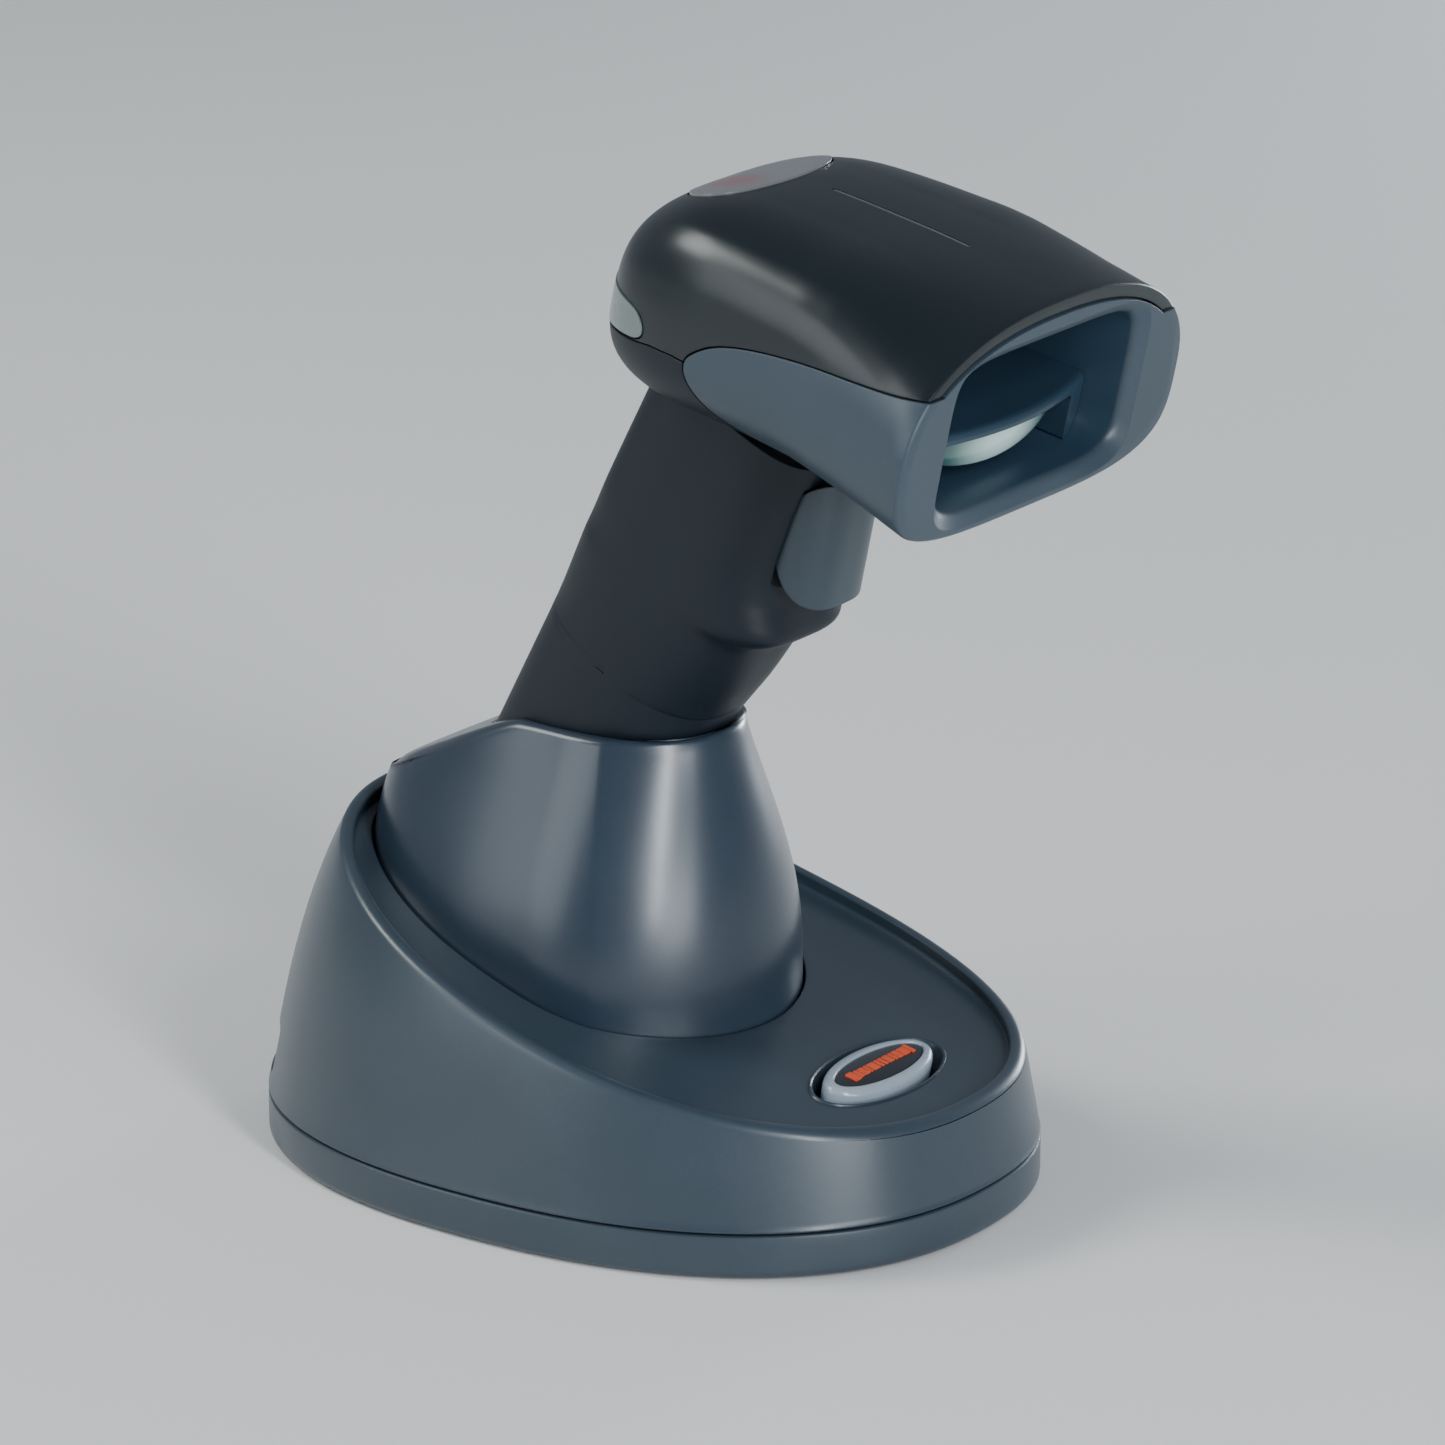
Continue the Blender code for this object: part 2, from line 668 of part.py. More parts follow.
def build_head_cutters(head):
    cutters = {}
    cutters["inner"] = head_solid("cut_head_inside", HEAD_WALL, -46.0, HEAD_TIP_Y - 2.2, head)
    cutters["cheek_inner"] = head_solid("cut_cheek_inside", CHEEK_WALL, -46.0, HEAD_TIP_Y - 3.0,
                                        head)
    above = SEAM + [(-60.0, 60.0), (60.0, 60.0)]
    below = [(y, z - GAP) for y, z in SEAM] + [(-60.0, -60.0), (60.0, -60.0)]
    cutters["above"] = prism("cut_above_seam", above, "X", -60.0, 60.0, parent=head, cutter=True)
    cutters["below"] = prism("cut_below_seam", below, "X", -60.0, 60.0, parent=head, cutter=True)
    cutters["cheek"] = prism("cut_cheek", CHEEK, "X", -60.0, 60.0, parent=head, cutter=True)
    cutters["cheek_room"] = prism("cut_cheek_room", widened(CHEEK, GAP), "X", -60.0, 60.0,
                                  parent=head, cutter=True)
    oval = status_outline()
    cutters["status"] = prism("cut_status_lens", oval, "Z", STATUS_Z, 60.0, parent=head,
                              cutter=True)
    cutters["status_room"] = prism("cut_status_room", widened(oval, GAP), "Z", STATUS_Z, 60.0,
                                   parent=head, cutter=True)
    cutters["rear"] = prism("cut_rear_lens", REAR_BAND, "X", -60.0, 60.0, parent=head,
                            cutter=True)
    cutters["rear_room"] = prism("cut_rear_room", widened(REAR_BAND, GAP), "X", -60.0, 60.0,
                                 parent=head, cutter=True)
    cutters["recess_room"] = prism("cut_recess_room", opening_outline(-1.7), "Y", -60.0,
                                   RECESS_BACK_Y + GAP, parent=head, cutter=True)
    cutters["opening"] = prism("cut_nose_opening", opening_outline(0.0), "Y", -60.0,
                               RECESS_BACK_Y + 2.0, parent=head, cutter=True)
    return cutters


def build_head_cover(head, cutters):
    cover = head_solid("head_cover", 0.0, HEAD_FRONT_Y - 0.6, HEAD_TIP_Y - 0.05, head, False,
                       "cover")
    groove = box("cut_top_groove", (-0.35, -23.4, 35.3), (0.35, 2.7, 40.0), parent=head,
                 cutter=True)
    cut(cover, cutters["status_room"], cutters["rear_room"], groove)
    keep_inside(cover, cutters["above"])
    cut(cover, cutters["cheek_room"], cutters["inner"])
    return cover


def build_lenses(head, cutters):
    status = head_solid("status_lens", -0.35, HEAD_FRONT_Y, HEAD_TIP_Y - 0.05, head, False,
                        "lens_grey")
    keep_inside(status, cutters["status"])
    cut(status, cutters["inner"])
    rear = head_solid("rear_lens", 0.0, HEAD_FRONT_Y, HEAD_TIP_Y - 0.05, head, False, "lens_pale")
    keep_inside(rear, cutters["rear"])
    cut(rear, cutters["inner"])


def build_nose_bezel(head, cutters):
    bezel = head_solid("nose_bezel", 0.0, RIM_FRONT_Y, HEAD_TIP_Y - 0.05, head, False, "bezel")
    keep_inside(bezel, cutters["cheek"])
    cut(bezel, cutters["cheek_inner"])
    face = loft("cut_nose_face", [head_ring(y, 2.6) for y in (RIM_FRONT_Y, -37.0)], None,
                head, cutter=True)
    slope = [[(x, y, z) for x, z in opening_outline(inset)] for y, inset in
             ((RIM_FRONT_Y - 1.0, -2.2), (RIM_FRONT_Y - 0.05, -2.2), (-40.5, 0.1))]
    funnel = loft("cut_nose_funnel", slope, None, head, cutter=True)
    tube = prism("cut_recess_tube", opening_outline(-1.4), "Y", -40.4, RECESS_BACK_Y,
                 parent=head, cutter=True)
    join(bezel, face, tube)
    cut(bezel, cutters["opening"], funnel)
    return bezel


def build_window(head):
    front = [(x, -37.5 + 4.0 * (x / 25.5) ** 2) for x in (-25.6, -18, -9, 0, 9, 18, 25.6)]
    hood = prism("window_hood", front + [(25.6, -18.0), (-25.6, -18.0)], "Z", 1.0, 13.4, "bezel",
                 head)
    join(hood, box("cut_hood_back", (-26.0, -19.5, 6.0), (26.0, -17.4, 30.0), parent=head,
                   cutter=True))
    keep_inside(hood, prism("cut_hood_room", opening_outline(GAP), "Y", -50.0, 0.0, parent=head,
                            cutter=True))
    cut(hood, box("cut_hood_window", (-20.0, -50.0, 0.0), (20.0, -21.0, 11.9), parent=head,
                  cutter=True))
    cut(hood, box("cut_hood_port", (-20.0, -50.0, 4.8), (20.0, 0.0, 11.9), parent=head,
                  cutter=True))
    pane = []
    for i in range(13):
        x = 19.4 * math.sin(math.radians(15.0 * (i - 6)))
        front_y = -34.6 + 2.0 * (x / 19.6) ** 2
        low = 11.6 - 6.5 * math.sqrt(1.0 - (x / 19.9) ** 2)
        pane.append([(x, front_y, 11.6), (x, front_y, low), (x, front_y + 1.4, low),
                     (x, front_y + 1.4, 11.6)])
    loft("scan_window", pane, "glass", head)
    box("imager_chassis", (-14.0, -27.0, 5.1), (14.0, -15.0, 11.3), "dark", head)
    turned("lens_barrel", [(0.0, 3.0), (2.9, 3.0), (2.9, 0.0), (0.0, 0.0)], (0.0, -27.3, 8.0),
           (0, -1, 0), "dark", head, 24)
    turned("imaging_lens", [(0.0, 0.9), (1.0, 0.7), (2.0, 0.0), (0.0, 0.0)], (0.0, -30.6, 8.0),
           (0, -1, 0), "glass", head, 20)
    for side, word in ((-1, "left"), (1, "right")):
        turned(f"illumination_led_{word}", [(0.0, 1.6), (1.1, 1.3), (1.6, 0.5), (1.6, 0.0),
               (0.0, 0.0)], (side * 9.0, -27.3, 8.0), (0, -1, 0), "lens_pale", head, 16)
    turned("aimer_lens", [(0.0, 1.0), (1.2, 0.8), (1.4, 0.0), (0.0, 0.0)], (5.4, -27.3, 8.0),
           (0, -1, 0), "glass", head, 14)


def build_head_inside(head):
    box("main_board", (-19.0, -14.0, 16.4), (19.0, 20.0, 18.0), "board", head)
    turned("beeper", [(0.0, 4.6), (5.4, 4.6), (6.0, 4.0), (6.0, 0.0), (0.0, 0.0)],
           (9.0, 4.0, 18.3), (0, 0, 1), "dark", head, 24)
    box("scanner_radio_module", (-16.0, -8.0, 18.3), (-4.0, 8.0, 20.5), "steel", head)
    box("status_led", (-1.6, 12.0, 18.3), (1.6, 15.2, 20.0), "lens_pale", head)


def grip_steps():
    """Heights along the handle and how far its front reaches, with the finger rest near the top."""
    plain = [(0.0, HANDLE_FRONT - 0.6), (3.0, HANDLE_FRONT), (78.0, HANDLE_FRONT), (83.0, 18.4),
             (87.0, 19.1), (92.0, 19.5)]
    rest = [(96.5, 19.8), (98.2, 21.0), (99.4, 22.8), (101.0, 23.9), (102.6, 23.7), (104.6, 22.4)]
    neck = [(107.5, 20.6), (112.0, 19.3), (118.0, 18.4), (124.0, 17.8), (132.0, 17.6)]
    return plain + rest + neck


def handle_outline(along, front, shrink):
    """Half-width, front, back and squareness of the handle at one height."""
    upper = min(max((along - 79.0) / 30.0, 0.0), 1.0)
    upper = upper * upper * (3.0 - 2.0 * upper)
    width = HANDLE_HALF_WIDTH + 1.0 * upper - (0.6 if along < 1.0 else 0.0)
    back = HANDLE_BACK - 0.6 * upper - (0.6 if along < 1.0 else 0.0)
    return width - shrink, -front + shrink, back - shrink, HANDLE_POWER + 1.4 * upper


def handle_loft(name, shrink, parent, steps, cutter=True, material=None):
    angles = ring_angles(32)
    rings = []
    for along, front in steps:
        width, low, high, power = handle_outline(along, front, shrink)
        rings.append(handle_ring(angles, along, width, low, high, power))
    return loft(name, rings, material, parent, cutter=cutter)


def trigger_outline():
    """Side outline of the trigger in the scanner frame: a flat finger face and a round back."""
    arc = []
    for i in range(15):
        angle = math.radians(-95.0 + i * 162.0 / 14)
        arc.append((-15.0 + 10.1 * math.cos(angle), -17.2 + 11.2 * math.sin(angle)))
    return arc + [(-13.9, -6.2), (-17.2, -5.2), (-19.0, -4.9), (-19.0, -27.6)]


# Arm that carries the trigger on its pin, inside the neck
TRIGGER_ARM = [(-11.0, -10.0), (-3.4, -8.4), (-3.2, -2.8), (-9.0, -2.8)]


def swept(outline):
    """Room for an outline at rest and fully pressed, swung about the trigger's pin."""
    rest = widened(outline, 0.4)
    swing = Matrix.Rotation(TRIGGER_SWING, 2)
    pin = Vector(TRIGGER_PIN)
    pressed = [pin + swing @ (Vector(point) - pin) for point in rest]
    points = [Vector(point) for point in rest] + pressed
    return [tuple(points[i]) for i in convex_hull_2d(points)]


def build_handle(root, head, cutters):
    housing = head_solid("handle_housing", 0.0, HEAD_FRONT_Y + 3.6, HEAD_TIP_Y - 0.05, head, False,
                         "housing")
    keep_inside(housing, cutters["below"])
    grip = handle_loft("cut_handle_outside", 0.0, root, grip_steps())
    inner_steps = [(1.5, 17.5), (94.0, 17.5), (108.0, 17.4), (140.0, 17.4)]
    hollow = handle_loft("cut_handle_inside", HANDLE_WALL, root, inner_steps)
    join(housing, grip)
    cut(housing, cutters["inner"], hollow, cutters["cheek_room"], cutters["rear_room"],
        cutters["recess_room"])
    door_room = [(-6.0, 20.0), (3.0, 20.0)]
    cut(housing, handle_loft("cut_door_room", -4.0, root, door_room))
    for word, outline, half in (("key", trigger_outline(), TRIGGER_HALF_WIDTH + 0.4),
                                ("arm", TRIGGER_ARM, TRIGGER_ARM_HALF_WIDTH + 0.6)):
        cut(housing, prism(f"cut_trigger_{word}_room", swept(outline), "X", -half, half,
                           parent=head, cutter=True))
    pin_y, pin_z = TRIGGER_PIN
    cut(housing, rod("cut_pin_room", (-12.8, pin_y, pin_z), (12.8, pin_y, pin_z), 1.4,
                     parent=head, cutter=True, sides=14))
    return housing


def build_trigger(head):
    pivot = bpy.data.objects.new("trigger_frame", None)
    PARTS.objects.link(pivot)
    pivot.parent = head
    pivot.location = Vector((0.0, TRIGGER_PIN[0], TRIGGER_PIN[1])) * MM
    def from_pin(points):
        return [(y - TRIGGER_PIN[0], z - TRIGGER_PIN[1]) for y, z in points]

    trigger = prism("trigger", from_pin(trigger_outline()), "X", -TRIGGER_HALF_WIDTH,
                    TRIGGER_HALF_WIDTH, "trigger", pivot)
    arm = prism("cut_trigger_arm", from_pin(TRIGGER_ARM), "X", -TRIGGER_ARM_HALF_WIDTH,
                TRIGGER_ARM_HALF_WIDTH, parent=pivot, cutter=True)
    join(trigger, arm)
    face = []
    for i in range(21):
        x, y = superellipse(9.7, 8.9, 3.0, math.pi * i / 20)
        face.append((x, 1.2 - y))
    face += [(-9.7, 14.0), (9.7, 14.0)]
    keep_inside(trigger, prism("cut_trigger_face", face, "Z", -40.0, 20.0, parent=pivot,
                               cutter=True))
    cut(trigger, rod("cut_trigger_bore", (-20.0, 0.0, 0.0), (20.0, 0.0, 0.0), 1.4, parent=pivot,
                     cutter=True, sides=16))
    rod("trigger_pin", (-12.5, TRIGGER_PIN[0], TRIGGER_PIN[1]),
        (12.5, TRIGGER_PIN[0], TRIGGER_PIN[1]), PIN_RADIUS, "steel", head, sides=16)


def build_handle_inside(root):
    place = handle_point(0.0, 1.0, 12.0)
    turned("battery_cell", [(0.0, 66.0), (3.0, 66.0), (3.2, 65.2), (9.1, 65.0), (9.2, 64.4),
           (9.2, 0.4), (9.0, 0.0), (0.0, 0.0)], place, HANDLE_UP, "cell", root, 28)
    board = box("handle_board", (-9.0, -1.0, 0.0), (9.0, 0.4, 24.0), "board", root)
    seat = handle_point(0.0, -10.0, 88.0) * MM
    board.location = seat
    board.rotation_euler = (HANDLE_TILT, 0.0, 0.0)
    switch = box("trigger_switch", (-3.0, -4.0, 10.0), (3.0, -1.3, 16.0), "dark", root)
    switch.location = seat
    switch.rotation_euler = (HANDLE_TILT, 0.0, 0.0)


def build_battery_door(root):
    steps = [(0.0, 16.9), (2.7, 17.5)]
    door = handle_loft("battery_door", 0.0, root, steps, False, "housing")
    plug = handle_loft("cut_door_plug", HANDLE_WALL + GAP, root, [(2.0, 17.5), (6.0, 17.5)])
    join(door, plug)
    for i, x in enumerate(CONTACT_PLACES):
        pocket = rod(f"cut_pad_pocket_{i}", handle_point(x, 0.0, -1.0), handle_point(x, 0.0, 1.8),
                     1.5, parent=root, cutter=True, sides=16)
        cut(door, pocket)
        turned(f"charge_pad_{i + 1}", [(0.0, 0.4), (1.2, 0.4), (1.2, 0.0), (0.0, 0.0)],
               handle_point(x, 0.0, 1.1), HANDLE_UP, "gold", root, 16)
    seat = rod("cut_screw_room", handle_point(0.0, 10.0, -2.0), handle_point(0.0, 10.0, 9.0), 1.5,
               parent=root, cutter=True, sides=16)
    head_seat = rod("cut_screw_head", handle_point(0.0, 10.0, -2.0), handle_point(0.0, 10.0, 2.5),
                    2.8, parent=root, cutter=True, sides=16)
    cut(door, seat, head_seat)
    turned("battery_door_screw", [(0.0, 8.0), (1.2, 7.6), (1.2, 2.2), (2.4, 2.2), (2.4, 1.0),
           (1.8, 0.6), (0.0, 0.6)], handle_point(0.0, 10.0, 0.0), HANDLE_UP, "steel", root, 16)


clear_scene()
PARTS = make_collection("cordless_barcode_scanner")
CUTTERS = make_collection("cutters")
MATERIALS = {key: make_material(key) for key in COLORS}

assembly = bpy.data.objects.new("assembly", None)
PARTS.objects.link(assembly)
assembly.location = (0.0, ASSEMBLY_SHIFT_Y * MM, 0.0)
scanner = bpy.data.objects.new("scanner_frame", None)
PARTS.objects.link(scanner)
scanner.parent = assembly
scanner.location = SCANNER_ORIGIN * MM
scanner.rotation_euler = (SCANNER_PITCH, 0.0, 0.0)

build_base_shell(assembly)
build_cup(assembly)
build_bottom_plate(assembly)
build_feet_and_screws(assembly)
build_base_inside(assembly)
build_contacts(assembly)
build_page_button(assembly)
head_cutters = build_head_cutters(scanner)
build_head_cover(scanner, head_cutters)
build_lenses(scanner, head_cutters)
build_nose_bezel(scanner, head_cutters)
build_window(scanner)
build_head_inside(scanner)
build_handle(assembly, scanner, head_cutters)
build_trigger(scanner)
build_handle_inside(assembly)
build_battery_door(assembly)
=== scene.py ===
"""Cordless barcode scanner in its charging cradle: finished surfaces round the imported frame.

Lengths are millimetres and are turned into metres when a mesh is made. +Z is up, the nose
points along -Y. The scanner has its own frame, pitched nose-down, and its grip has another.
"""
import math

import bmesh
import bpy
from mathutils import Matrix, Vector
from mathutils.geometry import convex_hull_2d


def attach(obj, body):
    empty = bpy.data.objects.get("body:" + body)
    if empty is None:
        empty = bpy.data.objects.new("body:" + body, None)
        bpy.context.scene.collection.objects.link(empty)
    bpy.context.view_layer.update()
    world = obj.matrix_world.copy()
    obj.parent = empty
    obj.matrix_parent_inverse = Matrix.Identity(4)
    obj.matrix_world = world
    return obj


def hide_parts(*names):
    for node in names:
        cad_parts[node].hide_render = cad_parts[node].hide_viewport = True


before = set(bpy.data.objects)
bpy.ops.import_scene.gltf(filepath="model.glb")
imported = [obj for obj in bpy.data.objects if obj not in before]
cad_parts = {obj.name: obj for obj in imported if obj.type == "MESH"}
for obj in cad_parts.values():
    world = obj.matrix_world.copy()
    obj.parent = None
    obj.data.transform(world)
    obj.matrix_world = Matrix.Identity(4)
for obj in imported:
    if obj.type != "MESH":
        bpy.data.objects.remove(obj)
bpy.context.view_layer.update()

MM = 0.001
GAP = 0.3

# Cradle
BASE_HALF_WIDTH = 50.6
BASE_HALF_LENGTH = 65.7
BASE_POWER = 2.28
BASE_WALL = 2.5
SHIFT_Y = 6.16
PARTING_Z = 7.6
SHELL_BOTTOM_Z = PARTING_Z + GAP
RIM_WIDTH = 2.4
RING_POINTS = 168
CUP_CENTRE_Y = 5.0
CUP_TOP_Z = 75.0
CUP_BELL_HEIGHT = 42.0
CUP_WALL = 2.2
WELL_CLEARANCE = 0.4
WELL_WALL = 1.6
JACK_X = 25.5
FOOT_PLACES = ((24.0, -48.0), (-24.0, -48.0), (25.0, 46.0), (-25.0, 46.0))
BOSS_PLACES = ((32.0, -41.0), (-32.0, -41.0), (37.0, 37.0), (-37.0, 37.0))
BUTTON_Y = -44.5
BUTTON_HALF_LENGTH = 13.4
BUTTON_HALF_WIDTH = 5.7
BUTTON_SLOPE = math.radians(11.0)

# Grip
HANDLE_TILT = math.radians(27.7)
HANDLE_FOOT = Vector((0.0, 37.5, 15.0))
HANDLE_HALF_WIDTH = 14.5
HANDLE_FRONT = 17.5
HANDLE_BACK = 16.5
HANDLE_POWER = 2.5
HANDLE_WALL = 2.2

# Head
SCANNER_PITCH = math.radians(12.0)
SCANNER_ORIGIN = Vector((0.0, -30.0, 130.0))
HEAD_FRONT_Y = -41.0
RIM_FRONT_Y = -42.0
HEAD_TIP_Y = 32.0
HEAD_WALL = 2.2
CHEEK_WALL = 3.0
HEAD_POINTS = 176
OPENING_HALF_WIDTH = 25.5
OPENING_CENTRE_Z = 15.5
# Bounds of the faces inside the nose opening that get painted shade.
SHADED_RECESS_FRONT_Y = -39.9
SHADED_RECESS_BACK_Y = -16.5
SHADED_RECESS_HALF_WIDTH = 25.8
SHADED_RECESS_HALF_HEIGHT = 12.8
OPENING_HALF_HEIGHT = 12.5
RECESS_BACK_Y = -17.0
TRIGGER_PIN = (-5.6, -5.2)
TRIGGER_HALF_WIDTH = 9.7
TRIGGER_ARM_HALF_WIDTH = 6.0
STATUS_HALF_WIDTH = 15.5
STATUS_FRONT = 5.6
STATUS_REAR = 9.0
STATUS_Y = 15.0
STATUS_Z = 19.3
TRIGGER_SWING = math.radians(4.3)

ASSEMBLY = Matrix.Translation(Vector((0.0, SHIFT_Y, 0.0)))
SCANNER = (ASSEMBLY @ Matrix.Translation(SCANNER_ORIGIN) @ Matrix.Rotation(SCANNER_PITCH, 4, "X"))


# ---------------------------------------------------------------- materials

def socket(shader, name, value):
    shader.inputs[name].default_value = value


def plastic(name, color, rough, grain=0.25, grain_scale=1500.0, mottle=0.10, coat=0.0,
            specular=0.5, tint=None, edge=0.35):
    """Moulded plastic: fine spark-eroded grain, slow drift in colour and gloss, soft edges."""
    material = bpy.data.materials.new(name)
    material.use_nodes = True
    nodes = material.node_tree.nodes
    links = material.node_tree.links
    shader = nodes["Principled BSDF"]
    place = nodes.new("ShaderNodeTexCoord")

    drift = nodes.new("ShaderNodeTexNoise")
    socket(drift, "Scale", 38.0)
    socket(drift, "Detail", 4.0)
    socket(drift, "Roughness", 0.55)
    links.new(place.outputs["Object"], drift.inputs["Vector"])
    paint = nodes.new("ShaderNodeValToRGB")
    other = tint or color
    paint.color_ramp.elements[0].position = 0.30
    paint.color_ramp.elements[0].color = (*[c * (1.0 - mottle) for c in color], 1.0)
    paint.color_ramp.elements[1].position = 0.72
    paint.color_ramp.elements[1].color = (*[c * (1.0 + mottle) for c in other], 1.0)
    links.new(drift.outputs["Fac"], paint.inputs["Fac"])

    speck = nodes.new("ShaderNodeTexNoise")
    socket(speck, "Scale", grain_scale)
    socket(speck, "Detail", 2.0)
    links.new(place.outputs["Object"], speck.inputs["Vector"])
    dust = nodes.new("ShaderNodeMix")
    dust.data_type = "RGBA"
    dust.blend_type = "MULTIPLY"
    dust.inputs["Factor"].default_value = 0.18
    links.new(paint.outputs["Color"], dust.inputs[6])
    links.new(speck.outputs["Fac"], dust.inputs[7])
    links.new(dust.outputs[2], shader.inputs["Base Color"])

    gloss = nodes.new("ShaderNodeMapRange")
    socket(gloss, "From Min", 0.3)
    socket(gloss, "From Max", 0.7)
    socket(gloss, "To Min", rough - 0.035)
    socket(gloss, "To Max", rough + 0.035)
    links.new(drift.outputs["Fac"], gloss.inputs["Value"])
    links.new(gloss.outputs["Result"], shader.inputs["Roughness"])

    rounding = nodes.new("ShaderNodeBevel")
    rounding.samples = 4
    socket(rounding, "Radius", edge * MM)
    bump = nodes.new("ShaderNodeBump")
    socket(bump, "Strength", grain)
    socket(bump, "Distance", 0.00004)
    links.new(speck.outputs["Fac"], bump.inputs["Height"])
    links.new(rounding.outputs["Normal"], bump.inputs["Normal"])
    links.new(bump.outputs["Normal"], shader.inputs["Normal"])
    socket(shader, "Specular IOR Level", specular)
    socket(shader, "Coat Weight", coat)
    socket(shader, "Coat Roughness", 0.22)
    return material


def metal(name, color, rough):
    """Turned metal with fine rings of tool marks and a slight tarnish."""
    material = bpy.data.materials.new(name)
    material.use_nodes = True
    nodes = material.node_tree.nodes
    links = material.node_tree.links
    shader = nodes["Principled BSDF"]
    place = nodes.new("ShaderNodeTexCoord")
    marks = nodes.new("ShaderNodeTexWave")
    marks.wave_type = "RINGS"
    socket(marks, "Scale", 900.0)
    socket(marks, "Distortion", 1.5)
    links.new(place.outputs["Object"], marks.inputs["Vector"])
    stain = nodes.new("ShaderNodeTexNoise")
    socket(stain, "Scale", 300.0)
    links.new(place.outputs["Object"], stain.inputs["Vector"])
    paint = nodes.new("ShaderNodeValToRGB")
    paint.color_ramp.elements[0].color = (*[c * 0.72 for c in color], 1.0)
    paint.color_ramp.elements[1].color = (*color, 1.0)
    links.new(stain.outputs["Fac"], paint.inputs["Fac"])
    links.new(paint.outputs["Color"], shader.inputs["Base Color"])
    rub = nodes.new("ShaderNodeMapRange")
    socket(rub, "To Min", rough - 0.05)
    socket(rub, "To Max", rough + 0.12)
    links.new(stain.outputs["Fac"], rub.inputs["Value"])
    links.new(rub.outputs["Result"], shader.inputs["Roughness"])
    bump = nodes.new("ShaderNodeBump")
    socket(bump, "Strength", 0.15)
    socket(bump, "Distance", 0.00002)
    links.new(marks.outputs["Fac"], bump.inputs["Height"])
    links.new(bump.outputs["Normal"], shader.inputs["Normal"])
    socket(shader, "Metallic", 1.0)
    return material


def painted_light_oval(name, rim, painted_light_colour, centre, reach, rough):
    """Frosted lens with painted light: the rim colour blends into a tinted middle round a centre
    point, which paints a glow on the status and rear ovals and a highlight on the scan window.
    """
    material = plastic(name, rim, rough, grain=0.06, mottle=0.05, coat=0.35, edge=0.3)
    nodes = material.node_tree.nodes
    links = material.node_tree.links
    shader = nodes["Principled BSDF"]
    place = nodes.new("ShaderNodeTexCoord")
    away = nodes.new("ShaderNodeVectorMath")
    away.operation = "DISTANCE"
    away.inputs[1].default_value = centre
    links.new(place.outputs["Object"], away.inputs[0])
    fade = nodes.new("ShaderNodeMapRange")
    socket(fade, "From Min", reach * 0.15)
    socket(fade, "From Max", reach)
    fade.interpolation_type = "SMOOTHSTEP"
    links.new(away.outputs["Value"], fade.inputs["Value"])
    mix = nodes.new("ShaderNodeMix")
    mix.data_type = "RGBA"
    mix.inputs[6].default_value = (*painted_light_colour, 1.0)
    links.new(fade.outputs["Result"], mix.inputs["Factor"])
    source = shader.inputs["Base Color"].links[0].from_socket
    links.new(source, mix.inputs[7])
    links.new(mix.outputs[2], shader.inputs["Base Color"])
    return material


MAT = {
    "cradle": plastic("cradle_slate", (0.029, 0.047, 0.065), 0.36, grain=0.16, coat=0.20,
                      tint=(0.033, 0.050, 0.067)),
    "cup": plastic("cup_slate", (0.020, 0.034, 0.052), 0.31, grain=0.10, coat=0.30),
    "cover": plastic("cover_dark_gloss", (0.0040, 0.0095, 0.0125), 0.32, grain=0.06, coat=0.15,
                     specular=0.42),
    "bezel": plastic("bezel_slate", (0.035, 0.056, 0.076), 0.42, grain=0.16),
    # Painted shade: a darker, bluer copy of the bezel colour for the faces inside the nose opening
    # and for the hood there.
    "recess": plastic("recess_painted_shade", (0.020, 0.044, 0.070), 0.36, grain=0.08),
    "housing": plastic("housing_black", (0.0055, 0.0100, 0.0170), 0.48, grain=0.22, specular=0.32),
    "trigger": plastic("trigger_slate", (0.034, 0.052, 0.068), 0.38, grain=0.14),
    "dark": plastic("socket_black", (0.006, 0.007, 0.009), 0.50, grain=0.22),
    "button": plastic("button_grey", (0.34, 0.40, 0.47), 0.26, grain=0.06, coat=0.4),
    "inlay": plastic("inlay_black", (0.006, 0.009, 0.013), 0.22, grain=0.04, coat=0.5),
    "accent": plastic("mark_orange", (0.78, 0.090, 0.024), 0.40, grain=0.12, mottle=0.16),
    "rubber": plastic("rubber_black", (0.012, 0.012, 0.013), 0.82, grain=0.50, specular=0.3),
    "board": plastic("board_green", (0.018, 0.120, 0.055), 0.42, grain=0.25),
    "cell": plastic("cell_wrap", (0.050, 0.120, 0.330), 0.34, grain=0.08),
    # Painted highlight: a lighter strip laid in the top groove for the light it catches.
    "line": plastic("groove_painted_highlight", (0.10, 0.13, 0.14), 0.35, grain=0.08),
    "steel": metal("screw_steel", (0.60, 0.60, 0.62), 0.30),
    "gold": metal("contact_gold", (0.86, 0.62, 0.25), 0.25),
}


# ---------------------------------------------------------------- mesh helpers

def signed_power(value, power):
    return math.copysign(abs(value) ** power, value)


def superellipse(half_x, half_y, power, angle):
    return (half_x * signed_power(math.cos(angle), 2.0 / power),
            half_y * signed_power(math.sin(angle), 2.0 / power))


def ring_angles(count=RING_POINTS):
    return [2.0 * math.pi * (i + 0.5) / count for i in range(count)]


def spread(first, last, count):
    return [first + (last - first) * i / (count - 1) for i in range(count)]


def finish_mesh(bm, name, material, sharp=30.0):
    bmesh.ops.recalc_face_normals(bm, faces=bm.faces)
    if bm.calc_volume(signed=True) < 0.0:
        bmesh.ops.reverse_faces(bm, faces=bm.faces)
    mesh = bpy.data.meshes.new(name)
    bm.to_mesh(mesh)
    bm.free()
    mesh.shade_smooth()
    mesh.set_sharp_from_angle(angle=math.radians(sharp))
    item = bpy.data.objects.new(name, mesh)
    bpy.context.scene.collection.objects.link(item)
    if material:
        mesh.materials.append(MAT[material])
    return item


